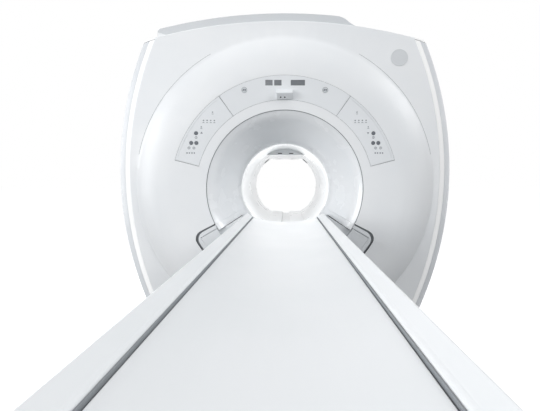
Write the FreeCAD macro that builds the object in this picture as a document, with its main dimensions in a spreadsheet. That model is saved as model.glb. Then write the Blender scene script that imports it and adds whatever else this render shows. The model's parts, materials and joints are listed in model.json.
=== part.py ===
"""Cylindrical-bore MRI scanner: the magnet with its covers and the patient table.

Frame: millimetres, +X to the right of someone standing at the foot of the table, +Y into the
bore, +Z up. The origin is on the floor under the isocentre, in the middle of the magnet's feet.
"""

import FreeCAD, Part
import math
import os
import re

import Sketcher
from FreeCAD import Placement, Rotation, Vector

os.makedirs("parts", exist_ok=True)
doc = FreeCAD.newDocument("mri_scanner")

# ---------------------------------------------------------------- driving dimensions

SIZES = {
    # the bore and what lies round it
    "iso_height": 1067,
    "bore_radius": 300,
    "liner_wall": 6,
    "tunnel_front": 500,
    "tunnel_back": 760,
    "coil_inner": 318,
    "coil_wall": 6,
    "coil_half": 470,
    "gradient_inner": 350,
    "gradient_outer": 440,
    "gradient_half": 590,
    "vessel_radius": 900,
    "vessel_bore": 450,
    "vessel_half": 625,
    # the moulded front: flat corners, a round bulge, a sloping band and the flare
    "corner_face": 820,
    "cover_wall": 6,
    "ring_wall": 14,
    "crest_radius": 745,
    "crest_rise": 52,
    "dish_radius": 933,
    "dish_lift": 35,
    "band_outer": 700,
    "band_inner": 550,
    "panel_wall": 8,
    "flare_edge": 486,
    "flare_gap": 4,
    "flare_face": 838,
    "flare_wall": 6,
    "throat_bend": 220,
    "lip_bend": 130,
    "lip_turn": 62,
    # the barrel outline of the covers
    "front_half_width": 975,
    "side_bend": 2130,
    "widest_height": 1200,
    "top_height": 2120,
    "top_bend": 3220,
    "side_growth": 112,
    "skirt_height": 60,
    "brow_rise": 50,
    # the pocket that the head of the table goes into
    "pocket_radius": 604,
    "pocket_floor": 640,
    "pocket_half_width": 272,
    "surround_radius": 626,
    "surround_gap": 12,
    "surround_corner": 50,
    # controls
    "key_radius": 12,
    "key_height": 7,
    "round_button_radius": 18,
    # the table; drops are measured down from the isocentre
    "table_head": 645,
    "table_foot": 3090,
    "cradle_half": 210,
    "cradle_drop": 199,
    "cradle_foot": 3050,
    "rail_inner": 216,
    "rail_outer": 259,
    "rail_drop": 170,
    "hull_drop": 352,
    "track_drop": 263,
    "frame_drop": 330,
    "belt_wide": 30,
    "pulley_radius": 24,
    "pulley_drop": 292,
    "idler_back": 700,
    "drive_back": 3020,
    "shaft_radius": 6,
    "post_radius": 45,
    "rod_radius": 30,
    "pedestal_front": 1440,
    "pedestal_back": 2560,
}

sheet = doc.addObject("Spreadsheet::Sheet", "dims")
for row, (alias, size) in enumerate(SIZES.items(), start=1):
    sheet.set(f"A{row}", alias)
    sheet.set(f"B{row}", str(size))
    sheet.setAlias(f"B{row}", alias)
doc.recompute()

nodes = {}


def bound(formula):
    """A formula written with bare aliases, as the sheet's own expression."""
    return re.sub(r"[a-z_]{4,}", lambda word: "dims." + word.group(), str(formula))


def number(formula):
    """What a formula comes to now."""
    return float(sheet.evalExpression(bound(formula)))


def keep(name, made):
    """Registers an object as the sub-part of that name."""
    made.Label = name
    nodes[name] = made
    return made


# ---------------------------------------------------------------- sketched bodies


def plane_of(body, role):
    return next(o for o in body.Origin.OriginFeatures if o.Role == role)


def curve_between(start, end, bend):
    """A straight edge, or a short arc of radius bend that bulges left of the way, or right if negative."""
    if not bend:
        return Part.LineSegment(start, end)
    chord = end - start
    half = chord.Length / 2
    rise = abs(bend) - math.sqrt(bend * bend - half * half)
    left = Vector(-chord.y, chord.x, 0).normalize()
    middle = (start + end) / 2 + left * math.copysign(rise, bend)
    return Part.Arc(end, middle, start) if bend > 0 else Part.Arc(start, middle, end)


def draw(sketch, corners, bends=None):
    """Adds a closed outline to a sketch and ties each corner and radius to its formula."""
    bends = bends or {}
    spots = [Vector(number(x), number(y), 0) for x, y in corners]
    ends = []
    for i, start in enumerate(spots):
        bend = number(bends[i]) if i in bends else 0
        curve = curve_between(start, spots[(i + 1) % len(spots)], bend)
        geo = sketch.addGeometry(curve, False)
        ends.append((geo, 2, 1) if bend > 0 else (geo, 1, 2))
        if bend:
            index = sketch.addConstraint(Sketcher.Constraint("Radius", geo, abs(bend)))
            sketch.setExpression(f"Constraints[{index}]", f"abs({bound(bends[i])})")
    for i, (geo, first, last) in enumerate(ends):
        after, start, _ = ends[(i + 1) % len(ends)]
        sketch.addConstraint(Sketcher.Constraint("Coincident", geo, last, after, start))
        for kind, formula in zip(("DistanceX", "DistanceY"), corners[i]):
            tie = Sketcher.Constraint(kind, -1, 1, geo, first, number(formula))
            index = sketch.addConstraint(tie)
            sketch.setExpression(f"Constraints[{index}]", bound(formula))


def sketched(body, role, corners, bends=None, shift="0", raised="0"):
    """A sketch on one of the body's own planes, shifted along its normal and up the plane."""
    sketch = body.newObject("Sketcher::SketchObject", body.Label + "_outline")
    sketch.AttachmentSupport = (plane_of(body, role), [""])
    sketch.MapMode = "FlatFace"
    sketch.setExpression("AttachmentOffset.Base.z", bound(shift))
    sketch.setExpression("AttachmentOffset.Base.y", bound(raised))
    draw(sketch, corners, bends)
    return sketch


def new_body(name):
    body = doc.addObject("PartDesign::Body", name)
    body.Label = name
    return body


def padded(name, role, corners, length, bends=None, shift="0"):
    """A body pushed out of one outline along its plane's normal."""
    body = new_body(name)
    pad = body.newObject("PartDesign::Pad", name + "_pad")
    pad.Profile = sketched(body, role, corners, bends, shift)
    pad.setExpression("Length", bound(length))
    body.Tip = pad
    return body


def revolved(name, role, axis, corners, bends=None, raised="0", sweep="360"):
    """A body turned from one outline about its sketch's own axis."""
    body = new_body(name)
    turn = body.newObject("PartDesign::Revolution", name + "_turn")
    sketch = sketched(body, role, corners, bends, "0", raised)
    turn.Profile = sketch
    turn.ReferenceAxis = (sketch, [axis])
    turn.Midplane = True
    turn.setExpression("Angle", bound(sweep))
    body.Tip = turn
    return body


def bore_ring(name, corners, sweep="360", middle=0, bends=None):
    """Turned about the bore: corners are (y, radius). A part ring is centred at middle degrees from the
    top."""
    body = revolved(name, "YZ_Plane", "H_Axis", corners, bends, "iso_height", sweep)
    centre = Vector(0, 0, number("iso_height"))
    body.Placement = Placement(Vector(), Rotation(Vector(0, 1, 0), middle), centre)
    return body


def upright(name, corners, x, y, bends=None):
    """Turned about a vertical line through x, y: corners are (radius, z)."""
    body = revolved(name, "XZ_Plane", "V_Axis", corners, bends)
    body.setExpression("Placement.Base.x", bound(x))
    body.setExpression("Placement.Base.y", bound(y))
    return body


def tube(name, radius, wall, half):
    """A plain tube about the bore, as long each way from the isocentre."""
    outer = f"{radius} + {wall}"
    corners = [(f"-{half}", radius), (half, radius), (half, outer), (f"-{half}", outer)]
    return bore_ring(name, corners)


# ---------------------------------------------------------------- solids made by functions


def shaped(name, shape):
    made = doc.addObject("Part::Feature", name)
    made.Shape = shape
    return keep(name, made)


def joined(shapes):
    return shapes[0].multiFuse(shapes[1:]).removeSplitter() if len(shapes) > 1 else shapes[0]


ISO = number("iso_height")
CORNER_FACE = number("corner_face")
BAND_OUTER = number("band_outer")
BAND_INNER = number("band_inner")
RING_WALL = number("ring_wall")
PANEL_WALL = number("panel_wall")
POCKET_FLOOR = number("pocket_floor")
CREST_FACE = CORNER_FACE + number("crest_rise")
DISH_SPAN = number("dish_radius") - number("crest_radius")
BULGE = (DISH_SPAN**2 + number("crest_rise") ** 2) / (2 * number("crest_rise"))
BULGE_CENTRE = CREST_FACE - BULGE


def bulge_face(radius):
    """How far in front of the isocentre the round bulge lies at a radius from the bore's axis."""
    return BULGE_CENTRE + math.sqrt(BULGE**2 - (radius - number("crest_radius")) ** 2)


BAND_FACE = bulge_face(BAND_OUTER)
BAND_SLOPE = (number("crest_radius") - BAND_OUTER) / (BAND_FACE - BULGE_CENTRE)


def band_face(radius):
    """The sloping band inside the bulge, tangent to it at the band's outer edge."""
    return BAND_FACE - (BAND_OUTER - radius) * BAND_SLOPE


def on_bore(radius, ahead, side=-1):
    """A point above the bore's axis, at a radius and a distance from the isocentre; side -1 is the front."""
    return Vector(0, side * ahead, ISO + radius)


def around(radius, angle, y=0.0):
    """A point at a radius from the bore's axis, at an angle from the top, positive to the right."""
    turn = math.radians(angle)
    return Vector(radius * math.sin(turn), y, ISO + radius * math.cos(turn))


def loop(edges):
    return Part.Face(Part.Wire(Part.__sortEdges__(edges)))


def polygon(points):
    return Part.Face(Part.makePolygon(points + points[:1]))


def spin(face, start=-180.0, end=180.0):
    """Turns a face that lies above the bore's axis about it, between two angles from the top."""
    centre, axis = Vector(0, 0, ISO), Vector(0, 1, 0)
    placed = face.copy()
    placed.rotate(centre, axis, start)
    return placed.revolve(centre, axis, end - start)


def wedge(inner, outer, near, far, start, end, side=-1):
    """A plain sector of a ring."""
    corners = [(inner, near), (outer, near), (outer, far), (inner, far)]
    return spin(polygon([on_bore(r, d, side) for r, d in corners]), start, end)


def disc_axis(x, z, radius, low, high):
    """A cylinder square to the sloping band at x, z, reaching from low to high above its face."""
    ahead = Vector(x, 0, z - ISO)
    out = band_normal(x, z)
    foot = Vector(x, -band_face(ahead.Length), z)
    return Part.makeCylinder(radius, high - low, foot + out * low, out)


def band_normal(x, z):
    inward = Vector(-x, 0, ISO - z).normalize()
    return (inward * BAND_SLOPE + Vector(0, -1, 0)).normalize()


# ---------------------------------------------------------------- magnet and coils


FOOT_X, FOOT_Y = 500, 450
FOOT_COLUMN, FOOT_TALL = 120, 420
PLATE_WIDE, PLATE_LONG, FOOT_PLATE = 220, 180, 25
FOOT_BOLT = 85  # how far outside its foot each anchor hole lies
ANCHOR_HOLE = 9


def foot(x, y):
    """One foot of the vessel: a square column on a plate with an anchor hole."""
    half = FOOT_COLUMN / 2
    column = Part.makeBox(FOOT_COLUMN, FOOT_COLUMN, FOOT_TALL, Vector(x - half, y - half, FOOT_PLATE))
    corner = Vector(x - PLATE_WIDE / 2, y - PLATE_LONG / 2, 0)
    plate = Part.makeBox(PLATE_WIDE, PLATE_LONG, FOOT_PLATE, corner)
    hole = Part.makeCylinder(ANCHOR_HOLE, FOOT_PLATE, Vector(x + math.copysign(FOOT_BOLT, x), y, 0))
    return column.fuse(plate).cut(hole)


def bore_cylinder(radius, near, far):
    """A solid cylinder on the bore's axis between two stations."""
    return Part.makeCylinder(radius, far - near, Vector(0, near, ISO), Vector(0, 1, 0))


def magnet_vessel():
    """The welded vacuum vessel: a drum with a warm bore and rolled edges, on four feet."""
    edge = 30
    corners = [
        ("-vessel_half", "vessel_bore"),
        ("vessel_half", "vessel_bore"),
        ("vessel_half", f"vessel_radius - {edge}"),
        (f"vessel_half - {edge}", "vessel_radius"),
        (f"{edge} - vessel_half", "vessel_radius"),
        ("-vessel_half", f"vessel_radius - {edge}"),
    ]
    drum = bore_ring("vessel_drum", corners, bends={2: edge, 4: edge})
    doc.recompute()
    inside = bore_cylinder(number("vessel_radius") - 1, -1000, 1000)
    legs = [foot(x, y).cut(inside) for x in (-FOOT_X, FOOT_X) for y in (-FOOT_Y, FOOT_Y)]
    shaped("magnet_vessel", joined([drum.Shape] + legs))


def stacked(x, y, steps, extra=()):
    """Discs of (radius, height) stacked upwards from the level of the bore's axis, less the vessel's drum."""
    discs, height = [], ISO
    for radius, tall in steps:
        discs.append(Part.makeCylinder(radius, tall, Vector(x, y, height)))
        height += tall
    return joined(discs + list(extra)).cut(bore_cylinder(number("vessel_radius"), -600, 600))


TURRET = (180, 260)  # where the service turret stands, x and y
COLD_HEAD = (-430, 200)


def service_turret():
    """The neck on top of the vessel where the leads and the vent leave it: neck, flange and cap."""
    shaped("service_turret", stacked(*TURRET, [(110, 985), (140, 18), (60, 30)]))


def cold_head():
    """The cryocooler's warm end on the vessel's shoulder: sleeve, flange, motor and valve block."""
    x, y = COLD_HEAD
    valve = Part.makeBox(90, 70, 60, Vector(x - 45, y - 105, ISO + 905))
    shaped("cold_head", stacked(x, y, [(90, 880), (115, 14), (70, 95)], [valve]))


SLOT_ANGLE, SLOT_HALF = 39, 5  # degrees from the top to a fan slot's middle, and half its width
SLOT_FRONT, SLOT_BACK = 600, 735


def coils():
    """The gradient coil, the radio coil's former and the tunnel's lining with its two fan slots."""
    wall = "(gradient_outer - gradient_inner)"
    keep("gradient_coil", tube("gradient_tube", "gradient_inner", wall, "gradient_half"))
    keep("rf_coil_former", tube("rf_coil_tube", "coil_inner", "coil_wall", "coil_half"))
    corners = [
        ("-tunnel_front", "bore_radius"),
        ("tunnel_back", "bore_radius"),
        ("tunnel_back", "bore_radius + liner_wall"),
        ("-tunnel_front", "bore_radius + liner_wall"),
    ]
    slots = doc.addObject("Part::Feature", "liner_slots")
    slots.Shape = Part.makeCompound([
        wedge(290, 320, SLOT_FRONT, SLOT_BACK, middle - SLOT_HALF, middle + SLOT_HALF, 1)
        for middle in (-SLOT_ANGLE, SLOT_ANGLE)
    ])
    slotted = doc.addObject("Part::Cut", "slotted_liner")
    slotted.Base = bore_ring("liner_tube", corners)
    slotted.Tool = slots
    keep("bore_liner", slotted)


def coil_wedges():
    """Eight rubber wedges that hold the gradient coil in the warm bore."""
    inner, outer = number("gradient_outer"), number("vessel_bore")
    far = number("gradient_half") - 10
    pads = []
    for way in (-1, 1):
        for middle in (45, 135, 225, 315):
            pads.append(wedge(inner, outer, far - 70, far, middle - 9, middle + 9, way))
    shaped("coil_wedges", Part.makeCompound(pads))


def rf_birdcage():
    """Sixteen copper rungs between two end rings, on the outside of their former."""
    inner = number("coil_inner") + number("coil_wall")
    outer = inner + 3
    rings = [wedge(inner, outer, 280, 330, -180, 180, way) for way in (-1, 1)]
    rungs = []
    for i in range(16):
        rung = Part.makeBox(36, 562, 3, Vector(-18, -281, ISO + inner + 0.5))
        rung.rotate(Vector(0, 0, ISO), Vector(0, 1, 0), i * 22.5)
        rungs.append(rung)
    shaped("rf_birdcage", joined(rings + rungs))


# ---------------------------------------------------------------- flares and tunnel fittings


def flare_edges(offset, edge):
    """The front flare's profile: a throat bend, a straight cone and a lip bend, offset outwards. Its lip
    ends at the radius edge."""
    throat = number("throat_bend")
    lip = number("lip_bend")
    turn = math.radians(number("lip_turn"))
    front = number("tunnel_front")
    throat_r, lip_r = number("bore_radius") + throat, edge + lip * math.cos(turn)
    lip_d = number("flare_face") - lip * math.sin(turn)
    reach = math.hypot(lip_r - throat_r, lip_d - front)
    cone = math.atan2(lip_r - throat_r, lip_d - front) + math.asin((throat - lip) / reach)

    def at(centre_r, centre_d, bend, angle):
        r = centre_r - (bend - offset) * math.cos(angle)
        d = centre_d + (bend - offset) * math.sin(angle)
        return on_bore(r, d)

    first = [at(throat_r, front, throat, cone * share) for share in (0, 0.5, 1)]
    last = [at(lip_r, lip_d, lip, cone + (turn - cone) * share) for share in (0, 0.5, 1)]
    edges = [Part.Arc(*first).toShape(), Part.makeLine(first[2], last[0]), Part.Arc(*last).toShape()]
    return edges, first[0], last[2]


def flare_shell(edge, low, high, start=-180.0, end=180.0):
    """The front flare between two offsets of its profile."""
    near, near_start, near_end = flare_edges(low, edge)
    far, far_start, far_end = flare_edges(high, edge)
    ends = [Part.makeLine(near_start, far_start), Part.makeLine(near_end, far_end)]
    return spin(loop(near + far + ends), start, end)


LIP_TOP, LIP_BOTTOM = 117.2, 122.5  # where the flare's end bars lie, in degrees from the top
BAR_PROUD = 8
WEB_ANGLE = 1.0


def front_flare():
    """One moulding: the full ring in the warm bore, cut away below where the table's head goes in, with
    a raised bar along each cut end and a web behind it that closes the pocket's side."""
    edge, face, wall = number("flare_edge"), number("flare_face"), number("flare_wall")
    shell = flare_shell(edge, 0, wall)
    below = wedge(250, 560, POCKET_FLOOR, face + 30, LIP_BOTTOM, 360 - LIP_BOTTOM)
    ahead = Part.makeBox(1400, 400, 1400, Vector(-700, -POCKET_FLOOR - 400, ISO - 700))
    bars = []
    for start, end in ((LIP_TOP, LIP_BOTTOM), (-LIP_BOTTOM, -LIP_TOP)):
        bars.append(flare_shell(edge - 2, -BAR_PROUD, wall, start, end).common(ahead))
    for start in (LIP_BOTTOM - WEB_ANGLE, -LIP_BOTTOM):
        web = wedge(300, edge, POCKET_FLOOR, face - 4, start, start + WEB_ANGLE)
        bars.append(web.cut(flare_void(edge, 1)))
    shaped("front_flare", joined([shell.cut(below)] + bars))


def flare_void(edge, offset):
    """Everything inside the flare, out to an offset of its profile."""
    near, start, end = flare_edges(offset, edge)
    back = on_bore(0, number("tunnel_front"))
    lines = [Part.makeLine(back, start), Part.makeLine(end, Vector(end.x, end.y, ISO))]
    lines.append(Part.makeLine(Vector(end.x, end.y, ISO), back))
    return spin(loop(near + lines))


REAR_BEND = 78


def rear_flare():
    """The short bell mouth at the back of the tunnel."""
    inner, back, wall = number("bore_radius"), number("tunnel_back"), number("flare_wall")

    def quarter(bend):
        lean = math.sin(math.radians(45))
        middle = on_bore(inner + REAR_BEND - bend * lean, back + bend * lean, 1)
        start = on_bore(inner + REAR_BEND - bend, back, 1)
        end = on_bore(inner + REAR_BEND, back + bend, 1)
        return Part.Arc(start, middle, end).toShape(), start, end

    near, near_start, near_end = quarter(REAR_BEND)
    far, far_start, far_end = quarter(REAR_BEND - wall)
    ends = [Part.makeLine(near_start, far_start), Part.makeLine(near_end, far_end)]
    shaped("rear_flare", spin(loop([near, far] + ends)))


def bore_bridge():
    """The track that carries the cradle through the tunnel, seated on the liner, with a channel for the
    drive tongue down its middle."""
    half_top, channel_half, channel_deep = 140, 30, 16
    top = ISO - number("track_drop") - 0.3
    front, back = -POCKET_FLOOR + 6, number("tunnel_back") - 10
    block = Part.makeBox(2 * half_top, back - front, 40, Vector(-half_top, front, top - 40))
    round_bar = Part.makeCylinder(number("bore_radius"), back - front, Vector(0, front, ISO), Vector(0, 1, 0))
    channel = Part.makeBox(
        2 * channel_half, back - front, channel_deep, Vector(-channel_half, front, top - channel_deep)
    )
    shaped("bore_bridge", block.common(round_bar).cut(channel))


def bore_ceiling_panel():
    """The flat light and vent panel along the top of the tunnel's rear half, with two vents at its end."""
    half_wide, flat = 137, ISO + 255
    front, back = -10, number("tunnel_back") - 5
    block = Part.makeBox(2 * half_wide, back - front, 60, Vector(-half_wide, front, flat))
    rim = [edge for edge in block.Edges if edge.BoundBox.ZMax < flat + 0.1]
    block = block.makeFillet(6, rim)
    bar = Part.makeCylinder(number("bore_radius"), back - front, Vector(0, front, ISO), Vector(0, 1, 0))
    panel = block.common(bar)
    for x in (-100, 50):
        panel = panel.cut(Part.makeBox(50, 80, 12, Vector(x, back - 100, flat - 1)))
    shaped("bore_ceiling_panel", panel)


# ---------------------------------------------------------------- outline of the covers


def meet(centre_a, radius_a, centre_b, radius_b, way):
    """Where two circles in the XZ plane cross, on the upper side, left or right by way."""
    apart = (centre_b - centre_a).Length
    along = (radius_a**2 - radius_b**2 + apart**2) / (2 * apart)
    across = math.sqrt(radius_a**2 - along**2)
    ahead = (centre_b - centre_a) / apart
    square = Vector(-ahead.z, 0, ahead.x)
    spots = [centre_a + ahead * along + square * s * across for s in (-1, 1)]
    return max(spots, key=lambda spot: spot.z + way * spot.x * 1e-6)


TOP_FLATTENS = 11  # how much the top arc's radius grows for each millimetre that the sides do


def outline(growth, y, inset=0.0):
    """The covers' outline at a station: a shallow arc on top, barrel sides grown outwards, a level foot."""
    side_r = number("side_bend") + growth - inset
    top_r = number("top_bend") + TOP_FLATTENS * growth - inset
    foot = number("skirt_height") + inset
    sides = {}
    for way in (-1, 1):
        centre = Vector(way * (number("front_half_width") - number("side_bend")), 0, number("widest_height"))
        top_centre = Vector(0, 0, number("top_height") - inset - top_r)
        corner = meet(centre, side_r, top_centre, top_r, way)
        drop = number("widest_height") - foot
        heel = Vector(centre.x + way * math.sqrt(side_r**2 - drop**2), 0, foot)
        belly = Vector(centre.x + way * side_r, 0, number("widest_height"))
        sides[way] = corner, belly, heel
    crown = Vector(0, 0, number("top_height") - inset)
    edges = [
        Part.Arc(sides[-1][0], crown, sides[1][0]).toShape(),
        Part.Arc(*sides[1]).toShape(),
        Part.makeLine(sides[1][2], sides[-1][2]),
        Part.Arc(*reversed(sides[-1])).toShape(),
    ]
    wire = Part.Wire(edges)
    wire.translate(Vector(0, y, 0))
    return wire


# station, growth: the rounded edge turns from the face of the cover to its side
EDGE_TURN = [(809.6, 6), (785, 40), (750, 78), (715, 100), (670, 112)]
TRIM_END = 785


def body_loft(inset):
    """The whole cover body, solid, from the front edge to the rear edge."""
    stations = [(-y, g) for y, g in EDGE_TURN] + [(y, g) for y, g in reversed(EDGE_TURN)]
    return Part.makeLoft([outline(g, y, inset) for y, g in stations], True, True)


TOP_SPLIT = 2006
SPLIT_GAP = 3


def body_covers():
    """Top, side and edge covers, cut from one shell along their parting lines."""
    wall = number("cover_wall")
    shell = body_loft(0).cut(body_loft(wall))
    ends = Part.makeBox(3000, 3000, 3000, Vector(-1500, -1500, TOP_SPLIT))
    crown = shell.common(ends)
    under = Part.makeBox(3000, 3000, TOP_SPLIT - SPLIT_GAP - number("skirt_height") - wall,
                         Vector(-1500, -1500, number("skirt_height") + wall))
    flanks = shell.common(under)
    for name, way in (("left", -1), ("right", 1)):
        half = Part.makeBox(1500, 3000, 3000, Vector(0 if way > 0 else -1500, -1500, 0))
        flank = flanks.common(half)
        trim_zone = Part.makeBox(3000, 60, 3000, Vector(-1500, -TRIM_END - 60, 0))
        side_zone = Part.makeBox(3000, 2000, 3000, Vector(-1500, -TRIM_END + SPLIT_GAP, 0))
        shaped(f"{name}_edge_trim", flank.common(trim_zone))
        shaped(f"{name}_side_cover", flank.common(side_zone))
    raised = brow(0, wall - 1).cut(body_loft(wall - 1))
    hollow = brow(wall, wall + 10)
    shaped("top_cover", joined([crown, raised]).cut(hollow))


BROW_LEFT, BROW_RIGHT, BROW_FOOT = -802, 330, 469
BROW_FRONT, BROW_BACK = -809.6, 700


def top_line(x, rise=0.0):
    """The point of the top arc at x, raised by rise."""
    bend = number("top_bend")
    return Vector(x, 0, number("top_height") - bend + math.sqrt(bend**2 - x**2) + rise)


def brow(inset, deep):
    """The raised crown over the left of the top cover, which ends on the right in an S-shaped step. Inset
    draws the hollow inside it; deep is how far it reaches below the top arc."""
    up = number("brow_rise") - inset
    left, right, foot = BROW_LEFT + inset, BROW_RIGHT - inset / 2, BROW_FOOT - 3 * inset
    middle, quarter = (right + foot) / 2, (foot - right) / 4
    sunk = -1.5
    edges = [
        Part.makeLine(top_line(left, -deep), top_line(left, up - 18)),
        Part.Arc(top_line(left, up - 18), top_line(left + 6, up - 5), top_line(left + 20, up)).toShape(),
        Part.Arc(top_line(left + 20, up), top_line(-250, up), top_line(right, up)).toShape(),
        Part.Arc(
            top_line(right, up), top_line(right + quarter, up * 0.88), top_line(middle, up / 2)
        ).toShape(),
        Part.Arc(
            top_line(middle, up / 2), top_line(foot - quarter, up * 0.12), top_line(foot, sunk)
        ).toShape(),
        Part.makeLine(top_line(foot, sunk), top_line(foot, -deep)),
        Part.Arc(top_line(foot, -deep), top_line(-200, -deep), top_line(left, -deep)).toShape(),
    ]
    face = Part.Face(Part.Wire(edges))
    face.translate(Vector(0, BROW_FRONT + inset, 0))
    return face.extrude(Vector(0, BROW_BACK - BROW_FRONT - 2 * inset, 0))


# ---------------------------------------------------------------- front and rear covers


DOCK_INSET = 3.3  # from the flare's edge to the dock moulding
DOCK_END = 118.0  # degrees from the top where the dock moulding's straight ends lie


def dock_outline(radius, slack, y):
    """The dock's outline: a sector of a ring under the flare with rounded outer corners. Slack moves its
    straight ends outwards; radius is its outer arc."""
    bend = number("surround_corner")
    inner = number("flare_edge") + DOCK_INSET
    top = DOCK_END - math.degrees(slack / radius)
    lean = math.degrees(math.asin(bend / (radius - bend)))
    tangent = (radius - bend) * math.cos(math.radians(lean))
    edges = []
    for way in (1, -1):
        def at(r, angle):
            return around(r, way * angle, y)
        centre = around(radius - bend, way * (top + lean), y)
        outward = (at(radius, top + lean) - centre) + (at(tangent, top) - centre)
        bend_middle = centre + outward.normalize() * bend
        edges.append(Part.makeLine(at(inner, top), at(tangent, top)))
        edges.append(Part.Arc(at(tangent, top), bend_middle, at(radius, top + lean)).toShape())
    for r, end in ((radius, top + lean), (inner, top)):
        edges.append(Part.Arc(around(r, end, y), around(r, 180, y), around(r, -end, y)).toShape())
    return loop(edges)


def dock_block(radius, slack):
    return dock_outline(radius, slack, -1000).extrude(Vector(0, 400, 0))


def ring_skin(inner, outer, depth_low, depth_high):
    """A layer under the sloping band's face, between two radii and two depths."""
    corners = [
        on_bore(inner, band_face(inner) - depth_low),
        on_bore(outer, band_face(outer) - depth_low),
        on_bore(outer, band_face(outer) - depth_high),
        on_bore(inner, band_face(inner) - depth_high),
    ]
    return polygon(corners)


BAND_END = 75.7  # degrees from the top where the control band ends
EDGE_ROUND = 5
PLATE_WALL = 10


def leaning(shape):
    """Shifts a turned form upwards, more the further it lies behind the band's outer edge, so that the
    bulge stays round the bore at the band and is eccentric by dish_lift where it meets the flat corners."""
    lean = FreeCAD.Matrix()
    lean.A32 = number("dish_lift") / (BAND_FACE - CORNER_FACE)
    lean.A34 = lean.A32 * BAND_FACE
    return shape.transformGeometry(lean)


def bulge_skin():
    """The round bulge, from the band's outer edge out to the flat corners; its inner foot runs on under
    the band's skin."""
    dish, crest, foot = number("dish_radius"), number("crest_radius"), BAND_OUTER - 22
    middle = (dish + BAND_OUTER) / 2
    back, heel = CORNER_FACE - PLATE_WALL + 2, 18  # where the skin ends in the plate, and its width
    crown = Part.Arc(
        on_bore(dish, CORNER_FACE), on_bore(middle, bulge_face(middle)), on_bore(BAND_OUTER, BAND_FACE)
    )
    corners = [
        on_bore(BAND_OUTER, BAND_FACE),
        on_bore(foot, BAND_FACE - RING_WALL),
        on_bore(crest, CREST_FACE - RING_WALL),
        on_bore(dish - heel, back),
        on_bore(dish, back),
        on_bore(dish, CORNER_FACE),
    ]
    lines = [Part.makeLine(*pair) for pair in zip(corners, corners[1:])]
    return leaning(spin(loop([crown.toShape()] + lines)))


def front_cover():
    """Flat barrel-edged corners, the round bulge and the sloping band with its recess for the control
    panels, opened below for the table's dock."""
    plate = Part.Face(outline(0, -CORNER_FACE, 0.3)).extrude(Vector(0, PLATE_WALL, 0))
    rim = [edge for edge in plate.Edges if all(abs(v.Y + CORNER_FACE) < 0.01 for v in edge.Vertexes)]
    plate = plate.makeFillet(EDGE_ROUND, rim)
    lap = 3  # how far the plate runs in under the bulge
    centre = Vector(0, -CORNER_FACE - 30, ISO + number("dish_lift"))
    hole = Part.makeCylinder(number("dish_radius") - lap, 60, centre, Vector(0, 1, 0))
    inner = number("flare_edge + flare_gap")
    band = spin(ring_skin(inner, BAND_OUTER, 0, RING_WALL))
    cover = plate.cut(hole).fuse(bulge_skin().fuse(band))
    recess = spin(ring_skin(BAND_INNER, BAND_OUTER, -2, PANEL_WALL), -BAND_END, BAND_END)
    dock = dock_block(number("surround_radius + surround_gap"), number("surround_gap"))
    neck = wedge(400, inner + 1, 700, 1000, LIP_TOP, 360 - LIP_TOP)
    shaped("front_cover", cover.cut(recess).cut(dock).cut(neck).removeSplitter())


FLOOR_EDGE = 355.2  # clears the outside of the flare at the pocket's floor
POCKET_WALL = 6
POCKET_END = 120.4  # degrees from the top where the pocket's end walls lie
CHEEK_FACE, CHEEK_WALL = 822, 5
CHEEK_TOP, CHEEK_END = 122.9, 153.6  # degrees from the top


def cheeks(ring, outer):
    """The two plates that close the pocket beside the slot for the table, each with a return to the
    pocket's floor along the slot. Above the ring radius they reach up to the pocket's end walls."""
    half = number("pocket_half_width")
    back = CHEEK_FACE - CHEEK_WALL
    inner = half / math.sin(math.radians(CHEEK_TOP))
    pieces = []
    for way in (-1, 1):
        def sector(low, high, near, far, top=CHEEK_TOP):
            angles = sorted((way * top, way * CHEEK_END))
            return wedge(low, high, near, far, *angles)

        plate = sector(inner, outer, back, CHEEK_FACE)
        shoulder = sector(ring, outer, back, CHEEK_FACE, POCKET_END - 0.2)
        beside = Part.makeBox(1000, 400, 1200, Vector(half, -CHEEK_FACE - 10, ISO - 1000))
        slot_wall = Part.makeBox(CHEEK_WALL, 400, 1200, Vector(half, -CHEEK_FACE - 10, ISO - 1000))
        if way < 0:
            beside = beside.mirror(Vector(), Vector(1, 0, 0))
            slot_wall = slot_wall.mirror(Vector(), Vector(1, 0, 0))
        depth = sector(inner, outer, POCKET_FLOOR + 0.3, CHEEK_FACE)
        depth = depth.fuse(sector(FLOOR_EDGE, outer, POCKET_FLOOR - 1, POCKET_FLOOR + 1))
        pieces.append(plate.fuse(shoulder).common(beside))
        pieces.append(depth.common(slot_wall))
    return pieces


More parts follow.
